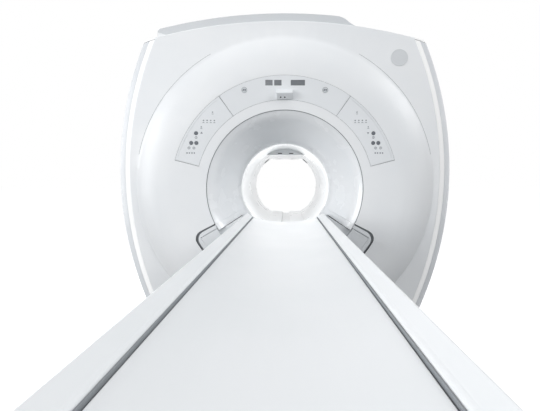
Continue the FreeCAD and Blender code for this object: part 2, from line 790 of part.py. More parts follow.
def dock_surround():
    """The pocket moulding for the table's head: a rim flush with the band, a flange behind the front
    cover, the round wall and the floor of the pocket, and the cheeks beside the slot."""
    radius, pocket = number("surround_radius"), number("pocket_radius")
    inner, outer = number("flare_edge") + DOCK_INSET, pocket + POCKET_WALL
    low, end = POCKET_FLOOR - POCKET_WALL, POCKET_END - 0.6
    rim_skin = spin(ring_skin(inner, radius + 10, 0, RING_WALL), 100, 260)
    flange_skin = spin(ring_skin(inner, radius + 40, RING_WALL, RING_WALL + 5), 100, 260)
    rim = rim_skin.common(dock_block(radius, 0))
    flange = flange_skin.common(dock_block(radius + 26, 26))
    opening = wedge(inner - 5, pocket, 700, 1000, POCKET_END, 360 - POCKET_END)
    wall = wedge(pocket, outer, low, band_face(pocket) - 4, end, 360 - end)
    floor = wedge(FLOOR_EDGE, outer, low, POCKET_FLOOR, LIP_BOTTOM + 0.1, 360 - LIP_BOTTOM - 0.1)
    pieces = [wall, floor] + cheeks(inner, pocket + 2)
    for start in (end, 360 - POCKET_END):
        pieces.append(wedge(inner, outer, low, band_face(inner) - 4, start, start + 0.6))
    for start in (end, 360 - end - 3.4):
        pieces.append(wedge(inner, outer, low, POCKET_FLOOR, start, start + 3.4))
    shaped("dock_surround", joined([rim, flange]).cut(opening).multiFuse(pieces).removeSplitter())


STAND_OFFS = [(-750, 1880), (750, 1880), (-880, 1750), (880, 1750), (-700, 300), (700, 300)]


def cover_frame(name, way):
    """A bulkhead round the vessel that carries the covers, with stand-offs to the flat corners."""
    near, thick = 548, 12
    start = near if way > 0 else -near - thick
    face = Part.Face(outline(number("side_growth"), start, number("cover_wall")))
    plate = face.extrude(Vector(0, thick, 0))
    drum = Part.makeCylinder(number("vessel_radius"), 60, Vector(0, start - 20, ISO), Vector(0, 1, 0))
    pieces = [plate.cut(drum)]
    for x, z in STAND_OFFS:
        reach = CORNER_FACE - 10 - near
        pieces.append(Part.makeCylinder(15, reach, Vector(x, way * near, z), Vector(0, way, 0)))
    frame = joined(pieces)
    for x in (-800, 800):
        frame = frame.cut(Part.makeCylinder(60, 40, Vector(x, start - 10, 1720), Vector(0, 1, 0)))
    shaped(name, frame)


REAR_EDGE = number("bore_radius") + REAR_BEND


def rear_cover():
    """The plain rear cover, with the opening for the rear flare."""
    plate = Part.Face(outline(0, CORNER_FACE - 10, 0.3)).extrude(Vector(0, 10, 0))
    edges = [edge for edge in plate.Edges if all(abs(v.Y - CORNER_FACE) < 0.01 for v in edge.Vertexes)]
    plate = plate.makeFillet(EDGE_ROUND, edges)
    hub = number("dish_radius") - 120
    raised = polygon([
        on_bore(REAR_EDGE + 1, CORNER_FACE - 10, 1),
        on_bore(REAR_EDGE + 1, CORNER_FACE + 18, 1),
        on_bore(hub - 60, CORNER_FACE + 18, 1),
        on_bore(hub, CORNER_FACE, 1),
        on_bore(hub, CORNER_FACE - 10, 1),
        on_bore(hub - 60, CORNER_FACE + 8, 1),
        on_bore(REAR_EDGE + 11, CORNER_FACE + 8, 1),
        on_bore(REAR_EDGE + 11, CORNER_FACE - 10, 1),
    ])
    hole = Part.makeCylinder(hub - 0.01, 80, Vector(0, CORNER_FACE - 40, ISO), Vector(0, 1, 0))
    shaped("rear_cover", plate.cut(hole).fuse(spin(raised)).removeSplitter())


def plinth():
    """Kick plates under the covers, standing on the floor."""
    half_wide, half_long, wall = 625, 780, 6
    height = number("skirt_height") + 6
    outer = Part.makeBox(2 * half_wide, 2 * half_long, height, Vector(-half_wide, -half_long, 0))
    inner = Part.makeBox(
        2 * (half_wide - wall), 2 * (half_long - wall), height, Vector(wall - half_wide, wall - half_long, 0)
    )
    shaped("plinth", outer.cut(inner))


# ---------------------------------------------------------------- control panels

WINDOWS = [(-120, -75), (-65, -20), (37, 125)]
WINDOW_LOW, WINDOW_HIGH = 636, 670
ROUND_BUTTON = (250, 608)
KEYS = {"upper": (548, 341), "outer": (578, 281), "inner": (547, 281)}
SECTION_SPLIT = 35.5
PANEL_GAP = 0.15
HOLE_SLACK = 0.5


LENS_HALF, LENS_DEPTH, LENS_SLACK = 129, 3.5, 0.3


def display_block(left, right, grow, near, far):
    """A block square to the band at the display, as high as a window and grown above and below it, from
    near to far under the band's face."""
    middle = (WINDOW_LOW + WINDOW_HIGH) / 2
    half = (WINDOW_HIGH - WINDOW_LOW) / 2 + grow
    block = Part.makeBox(right - left, far - near, 2 * half, Vector(left, near, -half))
    block.rotate(Vector(), Vector(1, 0, 0), math.degrees(math.atan(BAND_SLOPE)))
    block.translate(Vector(0, -band_face(middle), ISO + middle))
    return block


def band_panel(start, end):
    """A panel that fills the control band between two angles, flush with the front cover."""
    skin = ring_skin(BAND_INNER + 1.5, BAND_OUTER - 1.5, 0, PANEL_WALL)
    return spin(skin, start + PANEL_GAP, end - PANEL_GAP)


def display_panel():
    """The middle section: three display windows, two round buttons and the seat of the alignment light."""
    panel = band_panel(-SECTION_SPLIT, SECTION_SPLIT)
    for left, right in WINDOWS:
        panel = panel.cut(display_block(left, right, 0, -20, 30))
    panel = panel.cut(display_block(-LENS_HALF - 2, LENS_HALF + 2, 8, LENS_DEPTH, 30))
    for way in (-1, 1):
        x, up = ROUND_BUTTON
        hole = disc_axis(way * x, ISO + up, number("round_button_radius") + HOLE_SLACK, -20, 20)
        panel = panel.cut(hole)
    shaped("display_panel", panel)


def display_lens():
    """One smoked lens behind the panel, with a raised pad in each window."""
    strip = display_block(-LENS_HALF, LENS_HALF, 6, LENS_DEPTH, LENS_DEPTH + 3)
    pads = [
        display_block(left + LENS_SLACK, right - LENS_SLACK, -LENS_SLACK, 0.5, LENS_DEPTH + 2)
        for left, right in WINDOWS
    ]
    seat = spin(ring_skin(BAND_INNER, BAND_OUTER, 0, PANEL_WALL), -40, 40)
    shaped("display_lens", joined([strip] + pads).common(seat))


LIGHT_HALF, LIGHT_LOW, LIGHT_HIGH, LIGHT_OUT = 52, 553, 620, 42
NOSE_HIGH, NOSE_LOW, CHIN_OUT = 590, 582, 15
LAMP_XS = (-25, 0)
LAMP_RADIUS = 5.2
LAMP_RISE = 11  # up the hood's lower face, from its chin


def light_back():
    return -band_face(LIGHT_LOW)


def lamp_place(x, out=0.0):
    """A point on the hood's lower face where a beam leaves, and the way out of that face."""
    slope = Vector(0, -(LIGHT_OUT - CHIN_OUT), NOSE_LOW - LIGHT_LOW).normalize()
    away = Vector(0, -slope.z, slope.y)
    chin = Vector(x, light_back() - CHIN_OUT, ISO + LIGHT_LOW)
    return chin + slope * LAMP_RISE + away * out, away


def light_housing():
    """The hood of the alignment light: its top slopes down to a rounded nose, and its lower face leans
    back under the nose and carries the two lamp windows."""
    back = light_back()
    side = [
        (20, LIGHT_HIGH + 4), (0, LIGHT_HIGH), (-LIGHT_OUT + 6, NOSE_HIGH + 3), (-LIGHT_OUT, NOSE_HIGH),
        (-LIGHT_OUT, NOSE_LOW), (-CHIN_OUT, LIGHT_LOW), (20, LIGHT_LOW),
    ]
    profile = polygon([Vector(-LIGHT_HALF, back + y, ISO + z) for y, z in side])
    hood = profile.extrude(Vector(2 * LIGHT_HALF, 0, 0))
    cheeks_out = [
        edge for edge in hood.Edges
        if abs(edge.tangentAt(edge.FirstParameter).x) < 0.1 and edge.BoundBox.YMin < back - CHIN_OUT + 1
    ]
    hood = hood.makeFillet(7, cheeks_out)
    for x in LAMP_XS:
        foot, away = lamp_place(x, -6)
        hood = hood.cut(Part.makeCylinder(LAMP_RADIUS, 20, foot, away))
    surface = ring_skin(BAND_INNER - 20, BAND_OUTER, -100, 0)
    shaped("light_housing", hood.common(spin(surface, -20, 20)))


def light_lens():
    """Two round windows in the hood that the crossed alignment beams leave through."""
    lenses = [Part.makeCylinder(LAMP_RADIUS, 5.5, *lamp_place(x, -6)) for x in LAMP_XS]
    shaped("light_lens", Part.makeCompound(lenses))


def keypads():
    """The two keypad panels, with holes for their round keys and a shallow line inside the outer edge."""
    for name, way in (("left", -1), ("right", 1)):
        limits = sorted((way * SECTION_SPLIT, way * (BAND_END - 0.2)))
        panel = band_panel(*limits)
        for x, up in KEYS.values():
            panel = panel.cut(disc_axis(way * x, ISO + up, number("key_radius") + HOLE_SLACK, -20, 20))
        line = spin(ring_skin(684, 687, -1, 1.2), limits[0] + 1.5, limits[1] - 1.5)
        shaped(f"{name}_keypad", panel.cut(line))


def button(name, x, up, radius):
    """A round cap, domed a little, standing 1 mm proud of the band in its hole."""
    body = revolved(
        name, "XZ_Plane", "V_Axis",
        [
            ("0", "-key_height + 1"),
            (radius, "-key_height + 1"),
            (radius, "0.2"),
            (f"{radius} - 1", "1"),
            ("0", "1.6"),
        ],
    )
    z = ISO + up
    foot = Vector(x, -band_face(math.hypot(x, up)), z)
    body.Placement = Placement(foot, Rotation(Vector(0, 0, 1), band_normal(x, z)))
    keep(name, body)


def buttons():
    for name, way in (("left", -1), ("right", 1)):
        for place, (x, up) in KEYS.items():
            button(f"{name}_{place}_key", way * x, up, "key_radius")
        x, up = ROUND_BUTTON
        button(f"{name}_round_button", way * x, up, "round_button_radius")


# ---------------------------------------------------------------- table


def mirrored(points):
    """An outline's right half, from the bottom middle round to the top middle, with its left half added."""
    left = [(f"-({x})", z) for x, z in reversed(points) if x != "0"]
    return points + left


def drop(amount):
    return f"iso_height - ({amount})"


def along_table(name, corners, bends=None, start="table_head", end="table_foot"):
    """A profile pushed from the head of the table to its foot."""
    return padded(name, "XZ_Plane", corners, f"{end} - {start}", bends, start)


def table_rails():
    """The two side rails: thin mouldings with a rounded inner edge and a top that rises outwards."""
    for name, way in (("left", -1), ("right", 1)):
        right = [
            ("rail_inner", drop("262")),
            ("rail_inner + 5", drop("262")),
            ("rail_inner + 5", drop("197")),
            ("rail_inner + 11", drop("191.5")),
            ("rail_outer - 5", drop("rail_drop + 8")),
            ("rail_outer - 9", drop("300")),
            ("rail_outer - 4", drop("300")),
            ("rail_outer", drop("rail_drop + 7")),
            ("rail_outer - 6", drop("rail_drop + 1")),
            ("rail_inner + 11", drop("186")),
            ("rail_inner", drop("197")),
        ]
        corners = [(x if way > 0 else f"-({x})", z) for x, z in right]
        bends = {2: f"{way * 6.5}", 7: f"{-way * 7}", 9: f"{-way * 11.5}"}
        keep(f"{name}_rail", along_table(f"{name}_rail_profile", corners, bends))


def table_frame():
    """The long aluminium frame: a floor, two side webs, the cradle's two tracks and two ribs below, bored
    for the belt's two shafts."""
    right = [
        ("0", drop("frame_drop")),
        ("140", drop("frame_drop")),
        ("140", drop("hull_drop - 4")),
        ("150", drop("hull_drop - 4")),
        ("150", drop("frame_drop")),
        ("rail_inner", drop("frame_drop")),
        ("rail_inner", drop("245")),
        ("rail_inner - 4", drop("245")),
        ("rail_inner - 4", drop("frame_drop - 8")),
        ("122", drop("frame_drop - 8")),
        ("122", drop("track_drop + 0.3")),
        ("78", drop("track_drop + 0.3")),
        ("78", drop("frame_drop - 8")),
        ("0", drop("frame_drop - 8")),
    ]
    channel = along_table("frame_profile", mirrored(right))
    cut = channel
    for place in ("idler_back", "drive_back"):
        bore = doc.addObject("Part::Cylinder", place + "_bore")
        bore.setExpression("Radius", bound("shaft_radius + 0.05"))
        bore.Height = 260
        bore.Placement = Placement(Vector(-130, 0, 0), Rotation(Vector(0, 1, 0), 90))
        bore.setExpression("Placement.Base.y", bound("-" + place))
        bore.setExpression("Placement.Base.z", bound(drop("pulley_drop")))
        less = doc.addObject("Part::Cut", place + "_cut")
        less.Base, less.Tool = cut, bore
        cut = less
    keep("table_frame", cut)


def table_hull():
    """The belly pan under the table, open where the lift's posts pass."""
    right = [
        ("0", drop("hull_drop")),
        ("190", drop("hull_drop")),
        ("rail_outer - 9.5", drop("305")),
        ("rail_outer - 9.5", drop("275")),
        ("rail_outer - 13.5", drop("275")),
        ("rail_outer - 13.5", drop("304")),
        ("188", drop("hull_drop - 4")),
        ("0", drop("hull_drop - 4")),
    ]
    pan = along_table("hull_profile", mirrored(right), {1: "-90", 5: "88", 8: "88", 12: "-90"})
    doc.recompute()
    shape = pan.Shape
    for y, radius in ((POST_YS[0], "post_radius"), (POST_YS[1], "post_radius"), (RAM_Y, "rod_radius")):
        hole = Part.makeCylinder(number(radius) + 4, 20, Vector(0, y, ISO - number("hull_drop") - 8))
        shape = shape.cut(hole)
    shaped("table_hull", shape)


HANDLE_HALF, HANDLE_PIN, LUG_WALL = 80, 6, 8
HANDLE_Y = -number("table_foot") - 34
HANDLE_Z = ISO - number("hull_drop") - 26


def foot_cover():
    """The end cap: the table's full section, hollowed from inside, with two lugs for the release handle."""
    deep, wall = 60, 5
    right = [
        ("0", drop("hull_drop")),
        ("190", drop("hull_drop")),
        ("rail_outer - 4", drop("300")),
        ("rail_outer", drop("rail_drop + 7")),
        ("rail_outer - 6", drop("rail_drop + 1")),
        ("rail_inner + 11", drop("186")),
        ("cradle_half", drop("cradle_drop")),
    ]
    corners = right + [(f"-({x})", z) for x, z in reversed(right) if x != "0"]
    top = len(right) - 1
    cap = padded(
        "foot_cap", "XZ_Plane", corners, str(deep),
        {1: "-90", top: "750", 11: "-90"}, "table_foot",
    )
    doc.recompute()
    y = -number("table_foot")
    room = Part.makeBox(2 * 180, deep - wall, 110, Vector(-180, y - deep + wall, ISO - 347))
    shape = cap.Shape.cut(room)
    for x in (-HANDLE_HALF - LUG_WALL, HANDLE_HALF):
        lug = Part.makeBox(LUG_WALL, 24, 42, Vector(x, HANDLE_Y - 12, HANDLE_Z - 12))
        pin = Part.makeCylinder(HANDLE_PIN + 0.05, LUG_WALL, Vector(x, HANDLE_Y, HANDLE_Z), Vector(1, 0, 0))
        shape = shape.fuse(lug).cut(pin)
    shaped("foot_cover", shape)


def release_handle():
    """The bail under the foot of the table that lets the cradle be drawn out by hand."""
    along = Vector(1, 0, 0)
    end = HANDLE_HALF + LUG_WALL
    shaft = Part.makeCylinder(HANDLE_PIN, 2 * end, Vector(-end, HANDLE_Y, HANDLE_Z), along)
    reach, half, arm = 70, 70, 10
    arms = [
        Part.makeBox(arm, reach, 12, Vector(x, HANDLE_Y - reach, HANDLE_Z - 6)) for x in (-half, half - arm)
    ]
    grip = Part.makeCylinder(8, 2 * half, Vector(-half, HANDLE_Y - reach, HANDLE_Z), along)
    shaped("release_handle", joined([shaft, grip] + arms))


TONGUE_Y = -2960


def cradle():
    """The sliding cradle: a thin dished board on two runners, with a drive tongue at its foot end. Its
    head has rounded corners and a small notch."""
    right = [
        ("0", drop("249")),
        ("81", drop("247")),
        ("81", drop("track_drop")),
        ("121", drop("track_drop")),
        ("121", drop("243")),
        ("150", drop("237")),
        ("cradle_half", drop("cradle_drop + 6")),
        ("cradle_half", drop("cradle_drop")),
    ]
    corners = right + [(f"-({x})", z) for x, z in reversed(right) if x != "0"]
    board = along_table(
        "cradle_profile", corners, {len(right) - 1: "750"}, "table_head + 5", "cradle_foot"
    )
    plan = padded(
        "cradle_plan", "XY_Plane",
        [
            ("-cradle_half", "-cradle_foot + 40"),
            ("-cradle_half + 40", "-cradle_foot"),
            ("cradle_half - 40", "-cradle_foot"),
            ("cradle_half", "-cradle_foot + 40"),
            ("cradle_half", "-table_head - 65"),
            ("cradle_half - 60", "-table_head - 5"),
            ("14", "-table_head - 5"),
            ("9", "-table_head - 17"),
            ("-9", "-table_head - 17"),
            ("-14", "-table_head - 5"),
            ("60 - cradle_half", "-table_head - 5"),
            ("-cradle_half", "-table_head - 65"),
        ],
        "iso_height", {0: "-40", 2: "-40", 4: "-60", 10: "-60"},
    )
    board_in_plan = doc.addObject("Part::MultiCommon", "cradle_board")
    board_in_plan.Shapes = [board, plan]
    tongue = doc.addObject("Part::Box", "drive_tongue")
    tongue.Length, tongue.Width = 28, 60
    tongue.Height = 20
    tongue.Placement.Base = Vector(-14, TONGUE_Y, 0)
    tongue.setExpression("Placement.Base.z", bound("iso_height - pulley_drop + pulley_radius + 3.6"))
    whole = doc.addObject("Part::MultiFuse", "cradle_whole")
    whole.Shapes = [board_in_plan, tongue]
    keep("cradle", whole)


def belt_drive():
    """The toothed belt's two pulleys, the belt and the motor on the drive pulley's shaft."""
    idler_y, drive_y = -number("idler_back"), -number("drive_back")
    z = ISO - number("pulley_drop")
    radius, half = number("pulley_radius"), number("belt_wide") / 2
    for name, back, far in (("idler_pulley", "idler_back", "102"), ("drive_pulley", "drive_back", "134")):
        corners = [
            ("-102", "0"),
            (far, "0"),
            (far, "shaft_radius"),
            ("20", "shaft_radius"),
            ("20", "pulley_radius + 5"),
            ("belt_wide / 2 + 1", "pulley_radius + 5"),
            ("belt_wide / 2 + 1", "pulley_radius"),
            ("-belt_wide / 2 - 1", "pulley_radius"),
            ("-belt_wide / 2 - 1", "pulley_radius + 5"),
            ("-20", "pulley_radius + 5"),
            ("-20", "shaft_radius"),
            ("-102", "shaft_radius"),
        ]
        pulley = revolved(name + "_turned", "XZ_Plane", "H_Axis", corners)
        pulley.setExpression("Placement.Base.y", bound("-" + back))
        pulley.setExpression("Placement.Base.z", bound(drop("pulley_drop")))
        keep(name, pulley)

    def belt_loop(r):
        lines = [
            Part.makeLine(Vector(-half, drive_y, z + way * r), Vector(-half, idler_y, z + way * r))
            for way in (-1, 1)
        ]
        arcs = [
            Part.Arc(
                Vector(-half, y, z + r), Vector(-half, y + way * r, z), Vector(-half, y, z - r)
            ).toShape()
            for y, way in ((drive_y, -1), (idler_y, 1))
        ]
        return loop(lines + arcs)

    belt = belt_loop(radius + 3.3).cut(belt_loop(radius + 0.3)).extrude(Vector(2 * half, 0, 0))
    shaped("drive_belt", belt)
    flange = Part.makeBox(6, 50, 50, Vector(122, drive_y - 25, z - 25))
    can = Part.makeCylinder(24, 70, Vector(128, drive_y, z), Vector(1, 0, 0))
    bore = Part.makeCylinder(number("shaft_radius") + 0.05, 14, Vector(121, drive_y, z), Vector(1, 0, 0))
    shaped("drive_motor", flange.fuse(can).cut(bore))


BASE_PLATE = 30
BASE_BOLT_X, BASE_BOLT_YS = 190, (-2620, -1380)
POST_YS = (-1720, -2280)
RAM_Y = -2000


def rounded_plate(half, front, back, bend):
    """Corners and bends of a rounded rectangle in plan."""
    corners = [
        (f"-{half} + {bend}", f"-{back}"),
        (f"{half} - {bend}", f"-{back}"),
        (f"{half}", f"-{back} + {bend}"),
        (f"{half}", f"-{front} - {bend}"),
        (f"{half} - {bend}", f"-{front}"),
        (f"-{half} + {bend}", f"-{front}"),
        (f"-{half}", f"-{front} - {bend}"),
        (f"-{half}", f"-{back} + {bend}"),
    ]
    bends = {i: f"-{bend}" for i in (1, 3, 5, 7)}
    return corners, bends


def table_base():
    """The floor plate under the lift, with its four anchor holes."""
    corners, bends = rounded_plate(240, "(pedestal_front - 140)", "(pedestal_back + 140)", 80)
    plate = padded("base_plate", "XY_Plane", corners, str(BASE_PLATE), bends)
    cut = plate
    for i, (x, y) in enumerate((x, y) for x in (-BASE_BOLT_X, BASE_BOLT_X) for y in BASE_BOLT_YS):
        hole = doc.addObject("Part::Cylinder", f"base_hole_{i}")
        hole.Radius, hole.Height = ANCHOR_HOLE, BASE_PLATE
        hole.Placement.Base = Vector(x, y, 0)
        less = doc.addObject("Part::Cut", f"base_cut_{i}")
        less.Base, less.Tool = cut, hole
        cut = less
    keep("table_base", cut)


def shroud(name, half, grow, low, high, wall=4):
    """A rounded sleeve round the lift."""
    shapes = []
    for part, inset in (("outer", 0), ("inner", wall)):
        out = grow - inset
        corners, bends = rounded_plate(
            half - inset, f"(pedestal_front - {out})", f"(pedestal_back + {out})", 60 - inset
        )
        shapes.append(padded(f"{name}_{part}", "XY_Plane", corners, f"{high} - {low}", bends, low))
    less = doc.addObject("Part::Cut", name + "_sleeve")
    less.Base, less.Tool = shapes
    keep(name, less)


def lift():
    """The pedestal: two guide posts in their sleeves, the hydraulic ram between them, and two shrouds."""
    frame = drop("frame_drop")
    post = [("0", "250"), ("post_radius", "250"), ("post_radius", frame), ("0", frame)]
    sleeve = [
        ("post_radius + 0.05", str(BASE_PLATE)),
        ("post_radius + 15", str(BASE_PLATE)),
        ("post_radius + 15", "470"),
        ("post_radius + 0.05", "470"),
    ]
    for name, y in zip(("front", "rear"), POST_YS):
        keep(f"{name}_guide_post", upright(f"{name}_post", post, "0", str(y)))
        keep(f"{name}_guide_sleeve", upright(f"{name}_sleeve", sleeve, "0", str(y)))
    barrel = [
        ("0", str(BASE_PLATE)),
        ("rod_radius + 25", str(BASE_PLATE)),
        ("rod_radius + 25", "440"),
        ("rod_radius + 0.05", "440"),
        ("rod_radius + 0.05", "45"),
        ("0", "45"),
    ]
    rod = [("0", "260"), ("rod_radius", "260"), ("rod_radius", frame), ("0", frame)]
    keep("ram_cylinder", upright("ram_barrel", barrel, "0", str(RAM_Y)))
    keep("ram_rod", upright("ram_rod_turned", rod, "0", str(RAM_Y)))
    shroud("lower_shroud", 165, 0, str(BASE_PLATE), "480")
    shroud("upper_shroud", 178, 13, "440", drop("hull_drop"))


# ---------------------------------------------------------------- the whole machine


def build():
    magnet_vessel()
    service_turret()
    cold_head()
    coils()
    coil_wedges()
    rf_birdcage()
    front_flare()
    rear_flare()
    bore_bridge()
    bore_ceiling_panel()
    body_covers()
    front_cover()
    dock_surround()
    cover_frame("front_frame", -1)
    cover_frame("rear_frame", 1)
    rear_cover()
    plinth()
    display_panel()
    display_lens()
    light_housing()
    light_lens()
    keypads()
    buttons()
    table_base()
    lift()
    table_frame()
    table_hull()
    table_rails()
    foot_cover()
    release_handle()
    belt_drive()
    cradle()


def check_and_write():
    doc.recompute()
    for made in doc.Objects:
        if {"Invalid", "Error"} & set(made.State):
            raise SystemExit(f"{made.Label}: {made.State}")
    if len(nodes) > 60:
        raise SystemExit(f"{len(nodes)} nodes")
    for name, made in nodes.items():
        if made.Shape.isNull() or not made.Shape.isValid() or not made.Shape.Solids:
            raise SystemExit(f"{name}: its shape is not valid")
        made.Shape.exportStep(f"parts/{name}.step")
    print(len(nodes), "sub-parts written")


build()
check_and_write()
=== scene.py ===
import json
import math

import bmesh
import bpy
from mathutils import Matrix, Vector
from mathutils.bvhtree import BVHTree


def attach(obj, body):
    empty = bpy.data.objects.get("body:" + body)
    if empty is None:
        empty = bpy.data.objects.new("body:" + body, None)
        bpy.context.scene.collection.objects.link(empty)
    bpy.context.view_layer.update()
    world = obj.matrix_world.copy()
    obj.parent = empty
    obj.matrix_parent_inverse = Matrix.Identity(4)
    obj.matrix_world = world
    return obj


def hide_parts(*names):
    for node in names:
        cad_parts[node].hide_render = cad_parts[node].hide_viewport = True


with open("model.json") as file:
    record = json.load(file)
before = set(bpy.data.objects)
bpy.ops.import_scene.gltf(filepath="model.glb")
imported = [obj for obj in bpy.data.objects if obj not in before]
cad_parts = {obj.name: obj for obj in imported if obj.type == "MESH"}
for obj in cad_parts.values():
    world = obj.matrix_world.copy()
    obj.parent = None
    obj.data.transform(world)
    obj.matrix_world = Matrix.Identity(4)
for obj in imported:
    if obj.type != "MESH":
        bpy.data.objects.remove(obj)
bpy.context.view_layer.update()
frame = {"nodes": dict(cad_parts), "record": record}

NODES = frame["nodes"]
MM = 0.001
ISO = 1.067  # height of the bore's axis, in metres
SIDES = (("left", -1), ("right", 1))

# The gantry's front in millimetres, as the part's source has it. "Ahead" is measured forward from the
# isocentre, "up" from the bore's axis, and angles are in degrees from the top of the bore.
BAND_INNER, BAND_OUTER = 550, 700  # the sloping band round the flare
BAND_FACE, BAND_SLOPE = 869.222, 0.12394  # how far ahead its outer edge is, and how it falls back inward
BAND_END, SECTION_SPLIT = 75.6, 35.5  # where the control panels end, and where they meet
FLARE_EDGE, FLARE_GAP = 486, 4  # the flare's rim, and the gap round it
FLARE_CUT = (420, 812)  # a point of its edge over the dock: across, and up from the floor
CUT_UP = (0.454, 0.891)  # the way up from that edge
FLARE_BACK_SLOPE = -0.08  # normals with less forward slope than this belong to the flare's back
PLATE_FACE = 820  # how far ahead the cover's flat plate is
# the bulge's seam is a grey strip of painted shade along the crease
SEAM_INNER, SEAM_OUTER, SEAM_UP = 931.8, 933.9, 35  # the seam round the bulge, and its middle's height
SEAM_START, SEAM_END = 30, 79  # on each side
DOCK_TOP = 117  # where the table's dock begins
DOCK_FACE, SLOT_HALF = 822.2, 272.5  # the dock beside the table's slot, and half of the slot's width
INSERT_OUTER, INSERT_START, INSERT_END = 603.4, 120.7, 153.4  # the fillers beside the slot
AHEAD_OF_ALL = 900  # nothing of the gantry is this far ahead
WELD = 0.02  # corners closer than this are one

# ---------------------------------------------------------------- camera, light and room

PHOTO_WIDE, PHOTO_HIGH = 540, 411
FOCAL_PX = 414
VANISHING = (288, 178.7)  # where the lines along the bore meet in the photograph
CAMERA_PLACE = (0.020, -3.420, 1.127)
LAMPS = (  # place, target, width, height and watts
    ("left", (-5.4, -4.3, 1.9), (0.1, -0.8, 1.0), 2.6, 2.6, 152),
    ("right", (5.2, -4.0, 4.6), (0.0, -0.8, 1.1), 2.4, 2.4, 182),
    ("front", (-1.5, -6.6, 2.0), (0.0, -0.8, 1.1), 2.6, 2.6, 66),
    ("hard", (-3.4, -2.7, 2.7), (0.2, -0.8, 1.3), 0.3, 0.3, 22),
    ("top", (-0.4, -2.2, 4.8), (0.0, -1.6, 0.9), 3.0, 3.0, 34),
    ("left_side", (-3.6, 0.6, 1.5), (-1.0, -0.2, 1.1), 1.6, 2.6, 25),
    ("right_side", (3.6, 0.6, 1.5), (1.0, -0.2, 1.1), 1.6, 2.6, 12),
    ("behind", (0.0, 2.9, 1.3), (0.0, 0.7, 1.05), 1.6, 1.6, 7),
    ("ceiling", (0.0, -0.50, ISO + 0.05), (0.0, -0.01, ISO + 0.27), 0.16, 0.16, 0.12),
    ("bore", (0.0, 0.05, ISO + 0.05), (0.0, -1.0, ISO + 0.05), 0.40, 0.40, 0.22),
)
FLOOR_REACH = 40  # metres to each side


def placed(name, data):
    """A new object in the scene."""
    made = bpy.data.objects.new(name, data)
    bpy.context.scene.collection.objects.link(made)
    return made


def set_camera():
    """The photograph's camera: level, looking along the bore, with its middle shifted as the crop was."""
    data = bpy.data.cameras.new("camera")
    data.sensor_width = 36
    data.lens = FOCAL_PX / PHOTO_WIDE * data.sensor_width
    data.shift_x = (PHOTO_WIDE / 2 - VANISHING[0]) / PHOTO_WIDE
    data.shift_y = (VANISHING[1] - PHOTO_HIGH / 2) / PHOTO_WIDE
    data.clip_start = 0.02
    camera = placed("camera", data)
    camera.location = CAMERA_PLACE
    camera.rotation_euler = (math.radians(90), 0, 0)
    bpy.context.scene.camera = camera


def linear(code):
    """An sRGB hex colour as the linear colour that a shader socket takes."""
    shares = [int(code[i:i + 2], 16) / 255 for i in (0, 2, 4)]
    return [c / 12.92 if c <= 0.04045 else ((c + 0.055) / 1.055) ** 2.4 for c in shares] + [1.0]


def add(tree, kind, settings=None, inputs=None):
    """A shader node with its settings, and its sockets set or linked."""
    made = tree.nodes.new(kind)
    for name, value in (settings or {}).items():
        setattr(made, name, value)
    for name, value in (inputs or {}).items():
        if isinstance(value, bpy.types.NodeSocket):
            tree.links.new(value, made.inputs[name])
        else:
            made.inputs[name].default_value = value
    return made


def emptied(owner):
    """The node tree of a new material or world, with nothing in it."""
    owner.use_nodes = True
    owner.node_tree.nodes.clear()
    return owner.node_tree


def split_by_ray(tree, lit, shown, output):
    """Ends a tree with one shader for the light that falls on the object, and another for what camera,
    glossy and transmission rays see."""
    rays = add(tree, "ShaderNodeLightPath").outputs
    larger = {"operation": "MAXIMUM"}
    either = add(tree, "ShaderNodeMath", larger, {0: rays["Is Camera Ray"], 1: rays["Is Glossy Ray"]})
    seen = add(tree, "ShaderNodeMath", larger, {0: either.outputs[0], 1: rays["Is Transmission Ray"]})
    inputs = {0: seen.outputs[0], 1: lit.outputs[0], 2: shown.outputs[0]}
    mix = add(tree, "ShaderNodeMixShader", None, inputs)
    add(tree, output, None, {"Surface": mix.outputs[0]})


def set_world():
    """A weak, slightly cool fill from all round, in front of pure white."""
    world = bpy.data.worlds.new("studio")
    tree = emptied(world)
    fill = add(tree, "ShaderNodeBackground", None, {"Color": linear("F4F6F8"), "Strength": 0.42})
    white = add(tree, "ShaderNodeBackground", None, {"Color": (1, 1, 1, 1), "Strength": 1.0})
    split_by_ray(tree, fill, white, "ShaderNodeOutputWorld")
    bpy.context.scene.world = world


def set_lamps():
    """A large lamp low at the left and one high at the right, weaker ones in front and above, a small one
    for crisp shadows, one for each side, and three small ones behind and inside the bore."""
    for name, place, target, wide, high, power in LAMPS:
        data = bpy.data.lights.new(name, "AREA")
        data.shape = "RECTANGLE"
        data.size, data.size_y = wide, high
        data.energy = power
        lamp = placed(name, data)
        lamp.location = place
        lamp.rotation_euler = (Vector(target) - Vector(place)).to_track_quat("-Z", "Y").to_euler()
        lamp.visible_camera = False


def set_floor():
    """A floor that the eye sees as white with the object's soft shadow, and that sends little light back."""
    mesh = bpy.data.meshes.new("floor")
    form = bmesh.new()
    bmesh.ops.create_grid(form, x_segments=1, y_segments=1, size=FLOOR_REACH)
    form.to_mesh(mesh)
    form.free()
    floor = placed("floor", mesh)
    paint = bpy.data.materials.new("white studio floor")
    tree = emptied(paint)
    dull = add(tree, "ShaderNodeBsdfDiffuse", None, {"Color": linear("606162")})
    white = add(tree, "ShaderNodeBsdfDiffuse", None, {"Color": linear("E8E9EA")})
    glow = add(tree, "ShaderNodeEmission", None, {"Color": (1, 1, 1, 1), "Strength": 0.7})
    shown = add(tree, "ShaderNodeAddShader", None, {0: white.outputs[0], 1: glow.outputs[0]})
    split_by_ray(tree, dull, shown, "ShaderNodeOutputMaterial")
    mesh.materials.append(paint)


# ---------------------------------------------------------------- materials


